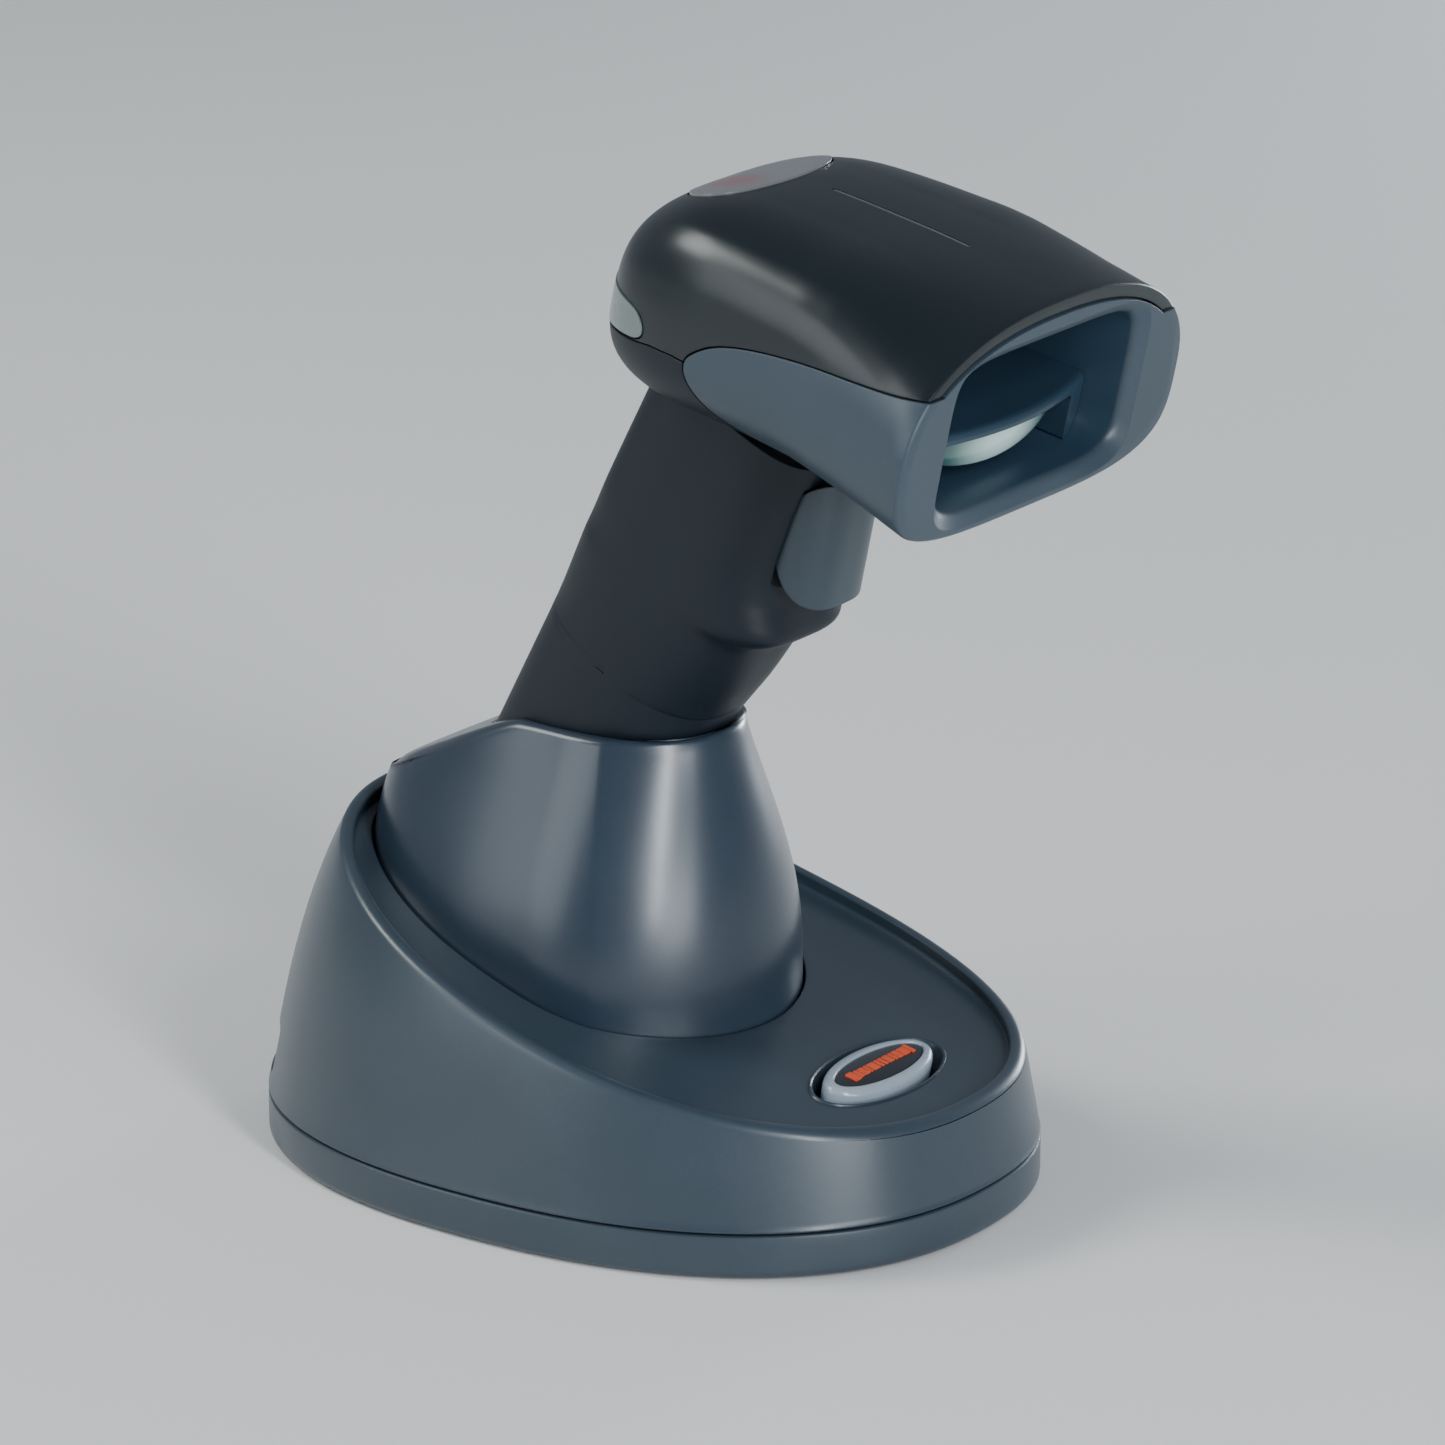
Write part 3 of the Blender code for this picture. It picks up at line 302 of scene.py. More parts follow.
def loft(name, rings, place, material=None, closed=False):
    """Skin a row of rings; closed joins the last ring to the first, else both ends are capped."""
    bm = bmesh.new()
    rows = [[bm.verts.new((place @ Vector(point)) * MM) for point in ring] for ring in rings]
    pairs = list(zip(rows, rows[1:]))
    if closed:
        pairs.append((rows[-1], rows[0]))
    for low, high in pairs:
        for i in range(len(low)):
            j = (i + 1) % len(low)
            bm.faces.new((low[i], low[j], high[j], high[i]))
    if not closed:
        bm.faces.new(rows[0])
        bm.faces.new(rows[-1])
    return finish_mesh(bm, name, material)


def box(name, low, high, place, material=None):
    bm = bmesh.new()
    bmesh.ops.create_cube(bm, size=1.0)
    low = Vector(low)
    high = Vector(high)
    for vert in bm.verts:
        share = vert.co + Vector((0.5, 0.5, 0.5))
        local = Vector(low[k] + (high[k] - low[k]) * share[k] for k in range(3))
        vert.co = (place @ local) * MM
    return finish_mesh(bm, name, material)


def rod(name, start, end, radius, place, material=None, sides=48):
    start = place @ Vector(start)
    end = place @ Vector(end)
    axis = end - start
    bm = bmesh.new()
    turn = axis.to_track_quat("Z", "Y").to_matrix().to_4x4()
    bmesh.ops.create_cone(bm, cap_ends=True, segments=sides, radius1=radius * MM,
                          radius2=radius * MM, depth=axis.length * MM,
                          matrix=Matrix.Translation((start + end) * 0.5 * MM) @ turn)
    return finish_mesh(bm, name, material)


def prism(name, outline, axis, low, high, place, material=None):
    """Push a flat outline along one axis of its frame."""
    def point(pair, depth):
        if axis == "X":
            return (depth, pair[0], pair[1])
        if axis == "Y":
            return (pair[0], depth, pair[1])
        return (pair[0], pair[1], depth)
    rings = [[point(pair, depth) for pair in outline] for depth in (low, high)]
    return loft(name, rings, place, material)


def apply_modifiers(item):
    """Bake the modifier stack into the mesh."""
    graph = bpy.context.evaluated_depsgraph_get()
    mesh = bpy.data.meshes.new_from_object(item.evaluated_get(graph))
    item.modifiers.clear()
    item.data = mesh


def combine(item, other, operation, drop=True):
    boolean = item.modifiers.new(operation, "BOOLEAN")
    boolean.operation = operation
    boolean.solver = "EXACT"
    boolean.object = other
    apply_modifiers(item)
    if drop:
        bpy.data.objects.remove(other, do_unlink=True)


def cut(item, *others, drop=True):
    for other in others:
        combine(item, other, "DIFFERENCE", drop)


def join(item, *others, drop=True):
    for other in others:
        combine(item, other, "UNION", drop)


def keep_inside(item, other, drop=True):
    combine(item, other, "INTERSECT", drop)


def resharpen(item, material, sharp=28.0):
    item.data.shade_smooth()
    item.data.set_sharp_from_angle(angle=math.radians(sharp))
    item.data.materials.clear()
    item.data.materials.append(MAT[material])


def soften(item, width, segments=4, angle=32.0):
    bevel = item.modifiers.new("rounding", "BEVEL")
    bevel.width = width * MM
    bevel.segments = segments
    bevel.limit_method = "ANGLE"
    bevel.angle_limit = math.radians(angle)
    bevel.harden_normals = False
    apply_modifiers(item)


def ellipse(half_x, half_y, centre=(0.0, 0.0), count=96, power=2.0):
    points = []
    for angle in ring_angles(count):
        x, y = superellipse(half_x, half_y, power, angle)
        points.append((centre[0] + x, centre[1] + y))
    return points


def widened(outline, amount):
    """Offset a closed outline outward by a distance."""
    area = sum(a[0] * b[1] - b[0] * a[1] for a, b in zip(outline, outline[1:] + outline[:1]))
    side = 1.0 if area > 0 else -1.0
    count = len(outline)
    result = []
    for i in range(count):
        one = (Vector(outline[i]) - Vector(outline[i - 1])).normalized()
        two = (Vector(outline[(i + 1) % count]) - Vector(outline[i])).normalized()
        normal = Vector((one.y + two.y, -one.x - two.x)).normalized()
        stretch = max(0.35, normal.dot(Vector((one.y, -one.x))))
        moved = Vector(outline[i]) + normal * (side * amount / stretch)
        result.append((moved.x, moved.y))
    return result


def smooth_path(points, steps):
    """Catmull-Rom curve through open points."""
    ends = [points[0]] + list(points) + [points[-1]]
    result = []
    for i in range(1, len(ends) - 2):
        p0, p1, p2, p3 = (Vector(ends[i + k]) for k in (-1, 0, 1, 2))
        for k in range(steps):
            t = k / steps
            result.append(tuple(0.5 * (2.0 * p1 + (p2 - p0) * t
                                       + (2.0 * p0 - 5.0 * p1 + 4.0 * p2 - p3) * t ** 2
                                       + (3.0 * p1 - p0 - 3.0 * p2 + p3) * t ** 3)))
    result.append(tuple(points[-1]))
    return result


def settle(item, body, slot, *nodes):
    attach(item, body)
    if nodes:
        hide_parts(*nodes)


# ---------------------------------------------------------------- cradle surfaces

def rim_height(y):
    share = y / BASE_HALF_LENGTH
    return 36.0 + 19.8 * share + 6.2 * share ** 2 + 1.2 * share ** 3


def deck_height(y):
    return rim_height(y) - 2.2 - 0.012 * (y + 50.0)


def wall_inset(z):
    rise = max(z - PARTING_Z, 0.0)
    return 0.168 * rise + 6.4 * (rise / 50.0) ** 3


def base_point(angle, inset):
    return superellipse(BASE_HALF_WIDTH - inset, BASE_HALF_LENGTH - inset, BASE_POWER, angle)


def level_ring(z, inset):
    return [(*base_point(angle, inset), z) for angle in ring_angles()]


def rim_point(angle, inset, drop, share=1.0, sink=0.0):
    """A wall point; sink moves it a share of the way from the rim down to the deck."""
    z = 40.0
    for _ in range(14):
        x, y = base_point(angle, wall_inset(z) + inset)
        top = rim_height(y) - drop - sink * (rim_height(y) - deck_height(y))
        z = SHELL_BOTTOM_Z + share * (top - SHELL_BOTTOM_Z)
    return x, y, z


def rim_ring(inset, drop=0.0, share=1.0, sink=0.0):
    return [rim_point(angle, inset, drop, share, sink) for angle in ring_angles()]


def bell(z):
    share = min(max((CUP_TOP_Z - z) / CUP_BELL_HEIGHT, 0.0), 1.0)
    return math.sin(0.5 * math.pi * share) ** 1.2


def cup_edge(angle):
    aside = math.degrees(math.atan2(-math.sin(angle), abs(math.cos(angle))))
    return max(0.0, 1.0 - abs(aside - 24.4) / 50.0) ** 2


def cup_point(angle, z, inset=0.0):
    flare = bell(z)
    wide = 16.9 + 12.5 * flare - inset
    front = 20.4 + 7.8 * flare - inset
    lean = min(max((z - 48.0) / 20.0, 0.0), 1.0)
    back = 45.0 - 6.0 * lean ** 2 - inset
    across = math.cos(angle)
    along = math.sin(angle)
    if along < 0:
        radius = 1.0 / math.hypot(across / wide, along / front)
    else:
        power = 2.4
        radius = (abs(across / wide) ** power + (along / back) ** power) ** (-1.0 / power)
    radius += 1.1 * cup_edge(angle)
    return radius * across, CUP_CENTRE_Y + radius * along


def cup_top(y):
    past = max(y - 14.0, 0.0)
    return CUP_TOP_Z - 0.5 * past * past / (past + 4.0)


def cup_ring(angles, share, inset=0.0, drop=0.0, sink=3.0):
    ring = []
    for angle in angles:
        z = 50.0
        for _ in range(14):
            x, y = cup_point(angle, z, inset)
            low = deck_height(y) - sink
            z = low + share * (cup_top(y) - drop - low)
        ring.append((x, y, z))
    return ring


def lip_ring(angles, turn):
    """The rounded top edge of the cup, wider behind where the top slopes away."""
    ring = []
    swing = math.radians(turn)
    for angle in angles:
        y = cup_point(angle, CUP_TOP_Z)[1]
        radius = 1.2 + 1.6 * min(max((y - 12.0) / 20.0, 0.0), 1.0)
        ring += cup_ring([angle], 1.0, radius * (1.0 - math.cos(swing)),
                         radius * (1.0 - math.sin(swing)))
    return ring


def deck_ring(angles, widen, drop):
    ring = []
    for angle in angles:
        z = 35.0
        for _ in range(10):
            x, y = cup_point(angle, z, -widen)
            z = deck_height(y)
        ring.append((x, y, z - drop))
    return ring


def between(ring_a, ring_b, share, drop=0.0):
    ring = []
    for a, b in zip(ring_a, ring_b):
        x = a[0] + (b[0] - a[0]) * share
        y = a[1] + (b[1] - a[1]) * share
        ring.append((x, y, deck_height(y) - drop))
    return ring


HANDLE_ACROSS = Vector((0.0, math.cos(HANDLE_TILT), math.sin(HANDLE_TILT)))
HANDLE_UP = Vector((0.0, -math.sin(HANDLE_TILT), math.cos(HANDLE_TILT)))


def handle_point(x, across, along):
    return HANDLE_FOOT + Vector((x, 0.0, 0.0)) + HANDLE_ACROSS * across + HANDLE_UP * along


def handle_ring(angles, along, half_width, front, back, power=HANDLE_POWER):
    middle = 0.5 * (front + back)
    half = 0.5 * (back - front)
    ring = []
    for angle in angles:
        x, across = superellipse(half_width, half, power, angle)
        ring.append(handle_point(x, middle + across, along))
    return ring


def well_ring(angles, along, clearance):
    return handle_ring(angles, along, HANDLE_HALF_WIDTH + clearance,
                       -HANDLE_FRONT - clearance, HANDLE_BACK + clearance)


def mouth_ring(angles, clearance, drop):
    ring = []
    for angle in angles:
        half = 0.5 * (HANDLE_FRONT + HANDLE_BACK) + clearance
        x, across = superellipse(HANDLE_HALF_WIDTH + clearance, half, HANDLE_POWER, angle)
        across += 0.5 * (HANDLE_BACK - HANDLE_FRONT)
        along = 70.0
        for _ in range(16):
            point = handle_point(x, across, along)
            along += (cup_top(point.y) - drop - point.z) / math.cos(HANDLE_TILT) * 0.8
        ring.append(handle_point(x, across, along))
    return ring


# ---------------------------------------------------------------- head surfaces

def head_taper(y, start, power):
    share = min(max((y - start) / (HEAD_TIP_Y - start), 0.0), 1.0)
    return (1.0 - share ** power) ** (1.0 / power)


def head_section(y, inset):
    front = min(max((-14.0 - y) / 27.0, 0.0), 1.0)
    taper_y = min(y, HEAD_TIP_Y - 0.002)
    width = (30.5 - 0.12 * y + 3.4 * front ** 2) * head_taper(taper_y, 3.0, 2.5)
    centre = 15.0 - 4.0 * min(max((y + 5.0) / 37.0, 0.0), 1.0) ** 2
    rise = (21.8 - 2.0 * front ** 2) * head_taper(taper_y, 6.0, 2.35)
    fall = (15.0 + 0.3 * front) * head_taper(taper_y, 6.0, 2.3)
    return (max(width - inset, 0.05), centre, max(rise - inset, 0.05), max(fall - inset, 0.05),
            3.5 - 1.2 * front, 2.6 + 1.1 * front)


def head_ring(y, inset=0.0, count=HEAD_POINTS):
    width, centre, rise, fall, power_up, power_down = head_section(y, inset)
    crease = 0.03 * min(max((y + 33.0) / 14.0, 0.0), 1.0) * min(max((26.0 - y) / 12.0, 0.0), 1.0)
    ring = []
    for angle in ring_angles(count):
        upper = math.sin(angle) > 0
        x, z = superellipse(width, rise if upper else fall, power_up if upper else power_down,
                            angle)
        if upper:
            turn = math.degrees(math.atan2(z / rise, abs(x) / width))
            swell = 1.0 + crease * max(0.0, 1.0 - abs(turn - 45.0) / 24.0)
            x *= swell
            z *= swell
        ring.append((x, y, centre + z))
    return ring


def head_stations(first, last):
    """Even along the body, then closing in so that the round tail keeps even facets."""
    turn = 6.0
    body = spread(first, turn, 34)
    tail = [last - (last - turn) * (1.0 - i / 30) ** 2.4 for i in range(1, 31)]
    return body + tail


def head_solid(name, inset, first, last, material=None, count=HEAD_POINTS):
    return loft(name, [head_ring(y, inset, count) for y in head_stations(first, last)], SCANNER,
                material)


SEAM = [(60.0, 9.4), (26.0, 10.0), (22.9, 10.7), (17.3, 11.9), (12.7, 13.0), (8.0, 13.5),
        (-41.0, 14.0), (-60.0, 14.0)]
REAR_BAND = [(60.0, 16.2), (26.0, 16.5), (20.3, 16.8), (17.6, 16.6), (15.9, 15.8), (15.0, 14.5),
             (15.2, 13.3), (16.3, 12.6), (17.5, 12.2), (22.9, 11.0), (26.0, 10.3), (60.0, 9.7)]
CHEEK_CURVE = [(-42.5, 25.6), (-36.0, 24.4), (-28.5, 23.4), (-16.9, 22.0), (-7.7, 20.3),
               (-1.0, 18.2), (3.2, 15.6), (4.9, 13.2), (3.6, 10.0), (-1.8, 6.1), (-12.2, 4.1),
               (-25.6, 3.5), (-37.2, 3.0)]
CHEEK = smooth_path(CHEEK_CURVE, 8) + [(-37.6, -4.0), (-42.5, -4.0)]


def opening_outline(inset, count=120):
    return ellipse(OPENING_HALF_WIDTH - inset, OPENING_HALF_HEIGHT - inset,
                   (0.0, OPENING_CENTRE_Z), count, 6.0)


# ---------------------------------------------------------------- cradle pieces

def build_cradle_body():
    centre_angles = [math.atan2(y - CUP_CENTRE_Y, x) for x, y, _ in rim_ring(RIM_WIDTH)]
    hole = deck_ring(centre_angles, 0.4, 0.0)
    wall = [level_ring(SHELL_BOTTOM_Z, 0.45), level_ring(SHELL_BOTTOM_Z + 0.1, 0.18),
            level_ring(SHELL_BOTTOM_Z + 0.4, 0.02)]
    wall += [rim_ring(0.0, 0.0, share) for share in spread(0.05, 0.92, 24)]
    lip = 1.25
    for i in range(8):
        turn = math.radians(i * 90.0 / 7)
        wall.append(rim_ring(lip * (1.0 - math.cos(turn)), lip * (1.0 - math.sin(turn))))
    wall += [rim_ring(1.75), rim_ring(2.1, 0.12), rim_ring(2.35, 0.4),
             rim_ring(2.45, 0.5, 1.0, 0.3), rim_ring(2.6, 0.0, 1.0, 0.78),
             rim_ring(2.9, 0.0, 1.0, 0.94)]
    start = rim_ring(3.4, 0.0, 1.0, 1.0)
    deck = [between(start, hole, share) for share in spread(0.0, 0.985, 26)]
    deck.append(deck_ring(centre_angles, 0.5, 0.06))
    deck.append(deck_ring(centre_angles, 0.4, 0.3))
    inner = rim_ring(RIM_WIDTH)
    under = [deck_ring(centre_angles, 0.4, BASE_WALL), between(inner, hole, 0.5, BASE_WALL)]
    under.append(rim_ring(RIM_WIDTH + 0.6, 5.5))
    under += [rim_ring(BASE_WALL, 6.0, share) for share in (0.7, 0.35)]
    under.append(level_ring(SHELL_BOTTOM_Z, BASE_WALL))
    body = loft("cradle_body", wall + deck + under, ASSEMBLY, "cradle", closed=True)
    for side in (-1, 1):
        cut(body, prism(f"window_{side}", ellipse(5.6, 4.3, (side * JACK_X, 14.7), 48, 7.0), "Y",
                        46.0, 75.0, ASSEMBLY))
    seat = BUTTON_FRAME
    cut(body, prism("button_hole", ellipse(BUTTON_HALF_LENGTH + 3.0, BUTTON_HALF_WIDTH + 1.6), "Z",
                    -8.0, 8.0, seat))
    resharpen(body, "cradle")
    settle(body, "base", "cradle", "base_shell")


BUTTON_FRAME = (ASSEMBLY @ Matrix.Translation(Vector((0.0, BUTTON_Y, deck_height(BUTTON_Y))))
                @ Matrix.Rotation(BUTTON_SLOPE, 4, "X"))


def build_cup():
    angles = ring_angles()
    skin = [cup_ring(angles, share) for share in spread(0.0, 0.95, 34)]
    lip = [lip_ring(angles, turn) for turn in spread(8.0, 90.0, 8)]
    mouth = [mouth_ring(angles, WELL_CLEARANCE + extra, drop) for extra, drop in
             ((0.6, 0.0), (0.3, 0.06), (0.1, 0.25), (0.0, 0.6))]
    shoulder = []
    for share in (0.2, 0.4, 0.6, 0.8):
        ring = []
        for a, b in zip(lip[-1], mouth[0]):
            point = Vector(a).lerp(Vector(b), share)
            ring.append((point.x, point.y, cup_top(point.y)))
        shoulder.append(ring)
    well = [well_ring(angles, along, WELL_CLEARANCE) for along in (52.0, 26.0, -0.6)]
    floor_hole = [handle_ring(angles, along, 9.0, -6.0, 6.0, 4.0) for along in (-0.6, -2.4)]
    outside = [well_ring(angles, -2.4, WELL_CLEARANCE + WELL_WALL),
               well_ring(angles, 30.0, WELL_CLEARANCE + WELL_WALL),
               mouth_ring(angles, WELL_CLEARANCE + 0.7, 4.2)]
    inner = [cup_ring(angles, 0.97, CUP_WALL, 3.6)]
    inner += [cup_ring(angles, share, CUP_WALL, 3.6) for share in (0.7, 0.35, 0.0)]
    cup_rings = skin + lip + shoulder + mouth + well + floor_hole + outside + inner
    cup = loft("cup_skin", cup_rings, ASSEMBLY,
               "cup", closed=True)
    settle(cup, "base", "cup", "cradle_cup")


def build_plate():
    rings = [level_ring(0.4, 1.1), level_ring(0.5, 0.7), level_ring(0.8, 0.32),
             level_ring(1.25, 0.08), level_ring(1.8, 0.0)]
    rings += [level_ring(z, 0.0) for z in (3.6, 5.4, 7.0)]
    rings += [level_ring(7.4, 0.08), level_ring(PARTING_Z, 0.4), level_ring(PARTING_Z, BASE_WALL),
              level_ring(3.4, BASE_WALL)]
    plate = loft("cradle_plate", rings, ASSEMBLY, "cradle")
    for i, (x, y) in enumerate(FOOT_PLACES):
        cut(plate, rod(f"pocket_{i}", (x, y, -1.0), (x, y, 2.0), 7.3, ASSEMBLY))
    for i, (x, y) in enumerate(BOSS_PLACES):
        cut(plate, rod(f"seat_{i}", (x, y, -1.0), (x, y, 2.6), 3.4, ASSEMBLY))
    resharpen(plate, "cradle")
    settle(plate, "base", "cradle", "base_bottom_plate")


def oval_ring(half_x, half_y, z, count=96):
    return [(x, y, z) for x, y in ellipse(half_x, half_y, count=count)]


def build_button():
    long = BUTTON_HALF_LENGTH
    wide = BUTTON_HALF_WIDTH
    crown = [(0.0, -4.2), (0.0, 0.3), (0.12, 0.75), (0.4, 1.15), (0.9, 1.42), (1.5, 1.55),
             (1.8, 1.5), (1.95, 1.3), (1.95, 0.7)]
    rings = [oval_ring(long - inset, wide - inset, z) for inset, z in crown]
    button = loft("button_cap", rings, BUTTON_FRAME, "button")
    settle(button, "page_button", "button", "page_button")

    inlay = [oval_ring(11.25, 3.55, 0.75)]
    inlay += [oval_ring(11.25 * s, 3.55 * s, 1.25 + 0.35 * (1.0 - s * s)) for s in
              (1.0, 0.92, 0.8, 0.6, 0.4, 0.2, 0.03)]
    face = loft("button_inlay", inlay, BUTTON_FRAME, "inlay")
    settle(face, "page_button", "dark", "page_button_inlay")

    widths = (1.5, 0.7, 1.1, 0.6, 1.6, 0.7, 0.7, 1.3, 0.6, 1.1, 1.6, 0.7)
    bm = bmesh.new()
    x = -8.1
    for i, wide_bar in enumerate(widths):
        tall = 1.15 if i in (0, 11) else 0.95
        matrix = (BUTTON_FRAME @ Matrix.Translation(Vector((x + wide_bar / 2, 0.0, 1.5))))
        made = bmesh.ops.create_cube(bm, size=1.0)["verts"]
        for vert in made:
            local = Vector((vert.co.x * wide_bar, vert.co.y * 2.0 * tall, vert.co.z * 0.5))
            vert.co = (matrix @ local) * MM
        x += wide_bar + 0.42
    mark = finish_mesh(bm, "button_mark", "accent")
    settle(mark, "page_button", "accent", "page_button_mark")

    well = [(3.2, -2.4), (3.2, -0.6), (3.15, 0.10), (2.95, 0.30), (2.6, 0.34), (2.25, 0.16),
            (2.0, -0.4), (1.5, -1.8), (0.9, -3.0), (0.5, -3.6), (0.5, -6.2)]
    rings = []
    for reach, z in well:
        side = min(reach * 0.6, 1.75) if reach > 0.5 else 0.5
        rings.append(oval_ring(long + reach, wide + max(side, 0.5), z))
    rings += [oval_ring(5.4, 4.2, -6.2), oval_ring(5.4, 4.2, -7.4),
              oval_ring(long + 2.4, wide + 1.1, -7.4)]
    surround = loft("button_surround", rings, BUTTON_FRAME, "cradle", closed=True)
    settle(surround, "base", "cradle", "button_well")


# ---------------------------------------------------------------- head pieces

def seam_prism(name, rows, floor):
    outline = rows + [(-60.0, floor), (60.0, floor)]
    return prism(name, outline, "X", -60.0, 60.0, SCANNER)


def inner_head():
    return head_solid("inner", HEAD_WALL, -46.0, HEAD_TIP_Y - 2.2, count=96)


def status_prism(name, extra, top=60.0):
    points = []
    for angle in ring_angles(144):
        if math.sin(angle) > 0:
            x, y = superellipse(STATUS_HALF_WIDTH, STATUS_REAR, 2.0, angle)
        else:
            x, y = superellipse(STATUS_HALF_WIDTH, STATUS_FRONT, 2.2, angle)
        points.append((x, STATUS_Y + y))
    return prism(name, widened(points, extra), "Z", STATUS_Z, top, SCANNER)


def rear_prism(name, extra):
    tip = smooth_path(REAR_BAND[1:-1], 5)
    outline = [REAR_BAND[0]] + tip + [REAR_BAND[-1]]
    return prism(name, widened(outline, extra), "X", -60.0, 60.0, SCANNER)


def build_cover():
    lead = HEAD_FRONT_Y - 0.6
    nose = [head_ring(lead + back, inset) for back, inset in
            ((0.0, 0.4), (0.05, 0.22), (0.15, 0.09), (0.35, 0.0))]
    body = [head_ring(y) for y in head_stations(lead + 2.0, HEAD_TIP_Y)]
    cover = loft("cover_shell", nose + body, SCANNER)
    cut(cover, status_prism("status_room", GAP), rear_prism("rear_room", GAP))
    groove = ellipse(0.42, 13.05, (0.0, -10.35), 48, 8.0)
    cut(cover, prism("top_groove", groove, "Z", 35.6, 45.0, SCANNER))
    keep_inside(cover, seam_prism("above", SEAM, 60.0))
    cut(cover, prism("cheek_room", widened(CHEEK, GAP), "X", -60.0, 60.0, SCANNER))
    cut(cover, inner_head())
    resharpen(cover, "cover")
    settle(cover, "scanner", "cover", "head_cover")

    # Painted highlight: a lighter strip sits in the top groove, standing in for the light it
    # catches.
    rings = []
    for y in spread(-23.15, 2.45, 40):
        section = head_section(y, 0.0)
        top = section[1] + section[2] - 0.08
        rings.append([(-0.33, y, top - 1.0), (0.33, y, top - 1.0), (0.33, y, top), (-0.33, y, top)])
    line = loft("top_groove_highlight_strip", rings, SCANNER, "line")
    settle(line, "scanner", "lens_grey")


def build_lenses():
    status = head_solid("status_oval", -0.30, HEAD_FRONT_Y, HEAD_TIP_Y)
    keep_inside(status, status_prism("status_keep", 0.0))
    cut(status, inner_head())
    resharpen(status, "status")
    settle(status, "scanner", "lens_grey", "status_lens")
    rear = head_solid("rear_oval", -0.25, HEAD_FRONT_Y, HEAD_TIP_Y)
    keep_inside(rear, rear_prism("rear_keep", 0.0))
    cut(rear, inner_head())
    resharpen(rear, "rear")
    settle(rear, "scanner", "lens_pale", "rear_lens")


def build_bezel():
    nose = [head_ring(RIM_FRONT_Y + back, inset) for back, inset in
            ((0.0, 0.55), (0.05, 0.36), (0.16, 0.2), (0.32, 0.07), (0.55, 0.0))]
    body = [head_ring(y) for y in head_stations(HEAD_FRONT_Y + 3.0, HEAD_TIP_Y)]
    bezel = loft("bezel_frame", nose + body, SCANNER)
    keep_inside(bezel, prism("cheek", CHEEK, "X", -60.0, 60.0, SCANNER))
    cut(bezel, head_solid("cheek_inner", CHEEK_WALL, -46.0, HEAD_TIP_Y - 3.0, count=96))
    face = loft("nose_face", [head_ring(y, 2.6) for y in (RIM_FRONT_Y, -37.0)], SCANNER)
    tube = prism("recess_tube", opening_outline(-1.4), "Y", -40.4, RECESS_BACK_Y, SCANNER)
    join(bezel, face, tube)
    mouth = [[(x, y, z) for x, z in opening_outline(inset)] for y, inset in
             ((-60.0, -2.2), (-42.05, -2.2), (-41.3, -1.15), (-40.9, -0.6), (-40.4, -0.2),
              (-39.8, 0.0), (RECESS_BACK_Y + 2.0, 0.0))]
    cut(bezel, loft("mouth", mouth, SCANNER))
    resharpen(bezel, "bezel")
    # Painted shade: faces inside the nose opening get the darker recess colour.
    bezel.data.materials.append(MAT["recess"])
    back = SCANNER.inverted()
    for face in bezel.data.polygons:
        x, y, z = back @ (face.center / MM)
        in_shaded_recess = (abs(x) < SHADED_RECESS_HALF_WIDTH
                  and abs(z - OPENING_CENTRE_Z) < SHADED_RECESS_HALF_HEIGHT)
        if SHADED_RECESS_FRONT_Y < y < SHADED_RECESS_BACK_Y and in_shaded_recess:
            face.material_index = 1
    settle(bezel, "scanner", "bezel", "nose_bezel")


def build_window():
    rings = []
    for z, back in ((1.0, 0.0), (12.3, 0.0), (12.65, 0.1), (12.95, 0.3), (13.2, 0.6), (13.35, 1.0),
                    (13.4, 1.5)):
        rings.append([(x, -37.5 + 4.0 * (x / 25.6) ** 2 + back, z)
                      for x in spread(-25.6, 25.6, 33)] + [(25.6, -18.0, z), (-25.6, -18.0, z)])
    hood = loft("hood_block", rings, SCANNER)
    join(hood, box("hood_back", (-26.0, -19.5, 6.0), (26.0, -17.4, 30.0), SCANNER))
    keep_inside(hood, prism("hood_room", opening_outline(GAP), "Y", -50.0, 0.0, SCANNER))
    slot = ellipse(20.0, 6.45, (0.0, 5.45), 80, 9.0)
    cut(hood, prism("hood_window", slot, "Y", -50.0, -21.0, SCANNER))
    port = ellipse(20.0, 3.55, (0.0, 8.35), 80, 9.0)
    cut(hood, prism("hood_port", port, "Y", -50.0, 0.0, SCANNER))
    # Painted shade: the hood takes the darker recess colour, not the bezel colour.
    resharpen(hood, "recess")
    settle(hood, "scanner", "bezel", "window_hood")
    across = [19.4 * math.sin(math.radians(turn)) for turn in spread(-90.0, 90.0, 49)]
    rows = [(1.4, -3.25), (0.0, -3.25), (-0.5, -2.9), (-0.8, -2.2), (-0.95, -1.1), (-1.0, 0.0),
            (-0.95, 1.1), (-0.8, 2.2), (-0.5, 2.9), (0.0, 3.25), (1.4, 3.25)]
    rings = []
    for x in across:
        curve = -34.0 + 2.0 * (x / 19.6) ** 2
        reach = math.sqrt(1.0 - (x / 19.9) ** 2)
        rings.append([(x, curve + depth * reach, 11.6 + (tall - 3.25) * reach)
                      for depth, tall in rows])
    window = loft("window_glass", rings, SCANNER, "window")
    settle(window, "scanner", "glass", "scan_window")


def grip_steps():
    plain = [(0.0, HANDLE_FRONT - 0.6), (3.0, HANDLE_FRONT), (40.0, HANDLE_FRONT),
             (78.0, HANDLE_FRONT), (80.0, 17.8), (83.0, 18.4), (87.0, 19.1), (92.0, 19.5)]
    rest = [(96.5, 19.8), (98.2, 21.0), (99.4, 22.8), (101.0, 23.9), (102.6, 23.7), (104.6, 22.4)]
    neck = [(107.5, 20.6), (112.0, 19.3), (118.0, 18.4), (124.0, 17.8), (132.0, 17.6)]
    return smooth_path(plain + rest + neck, 6)


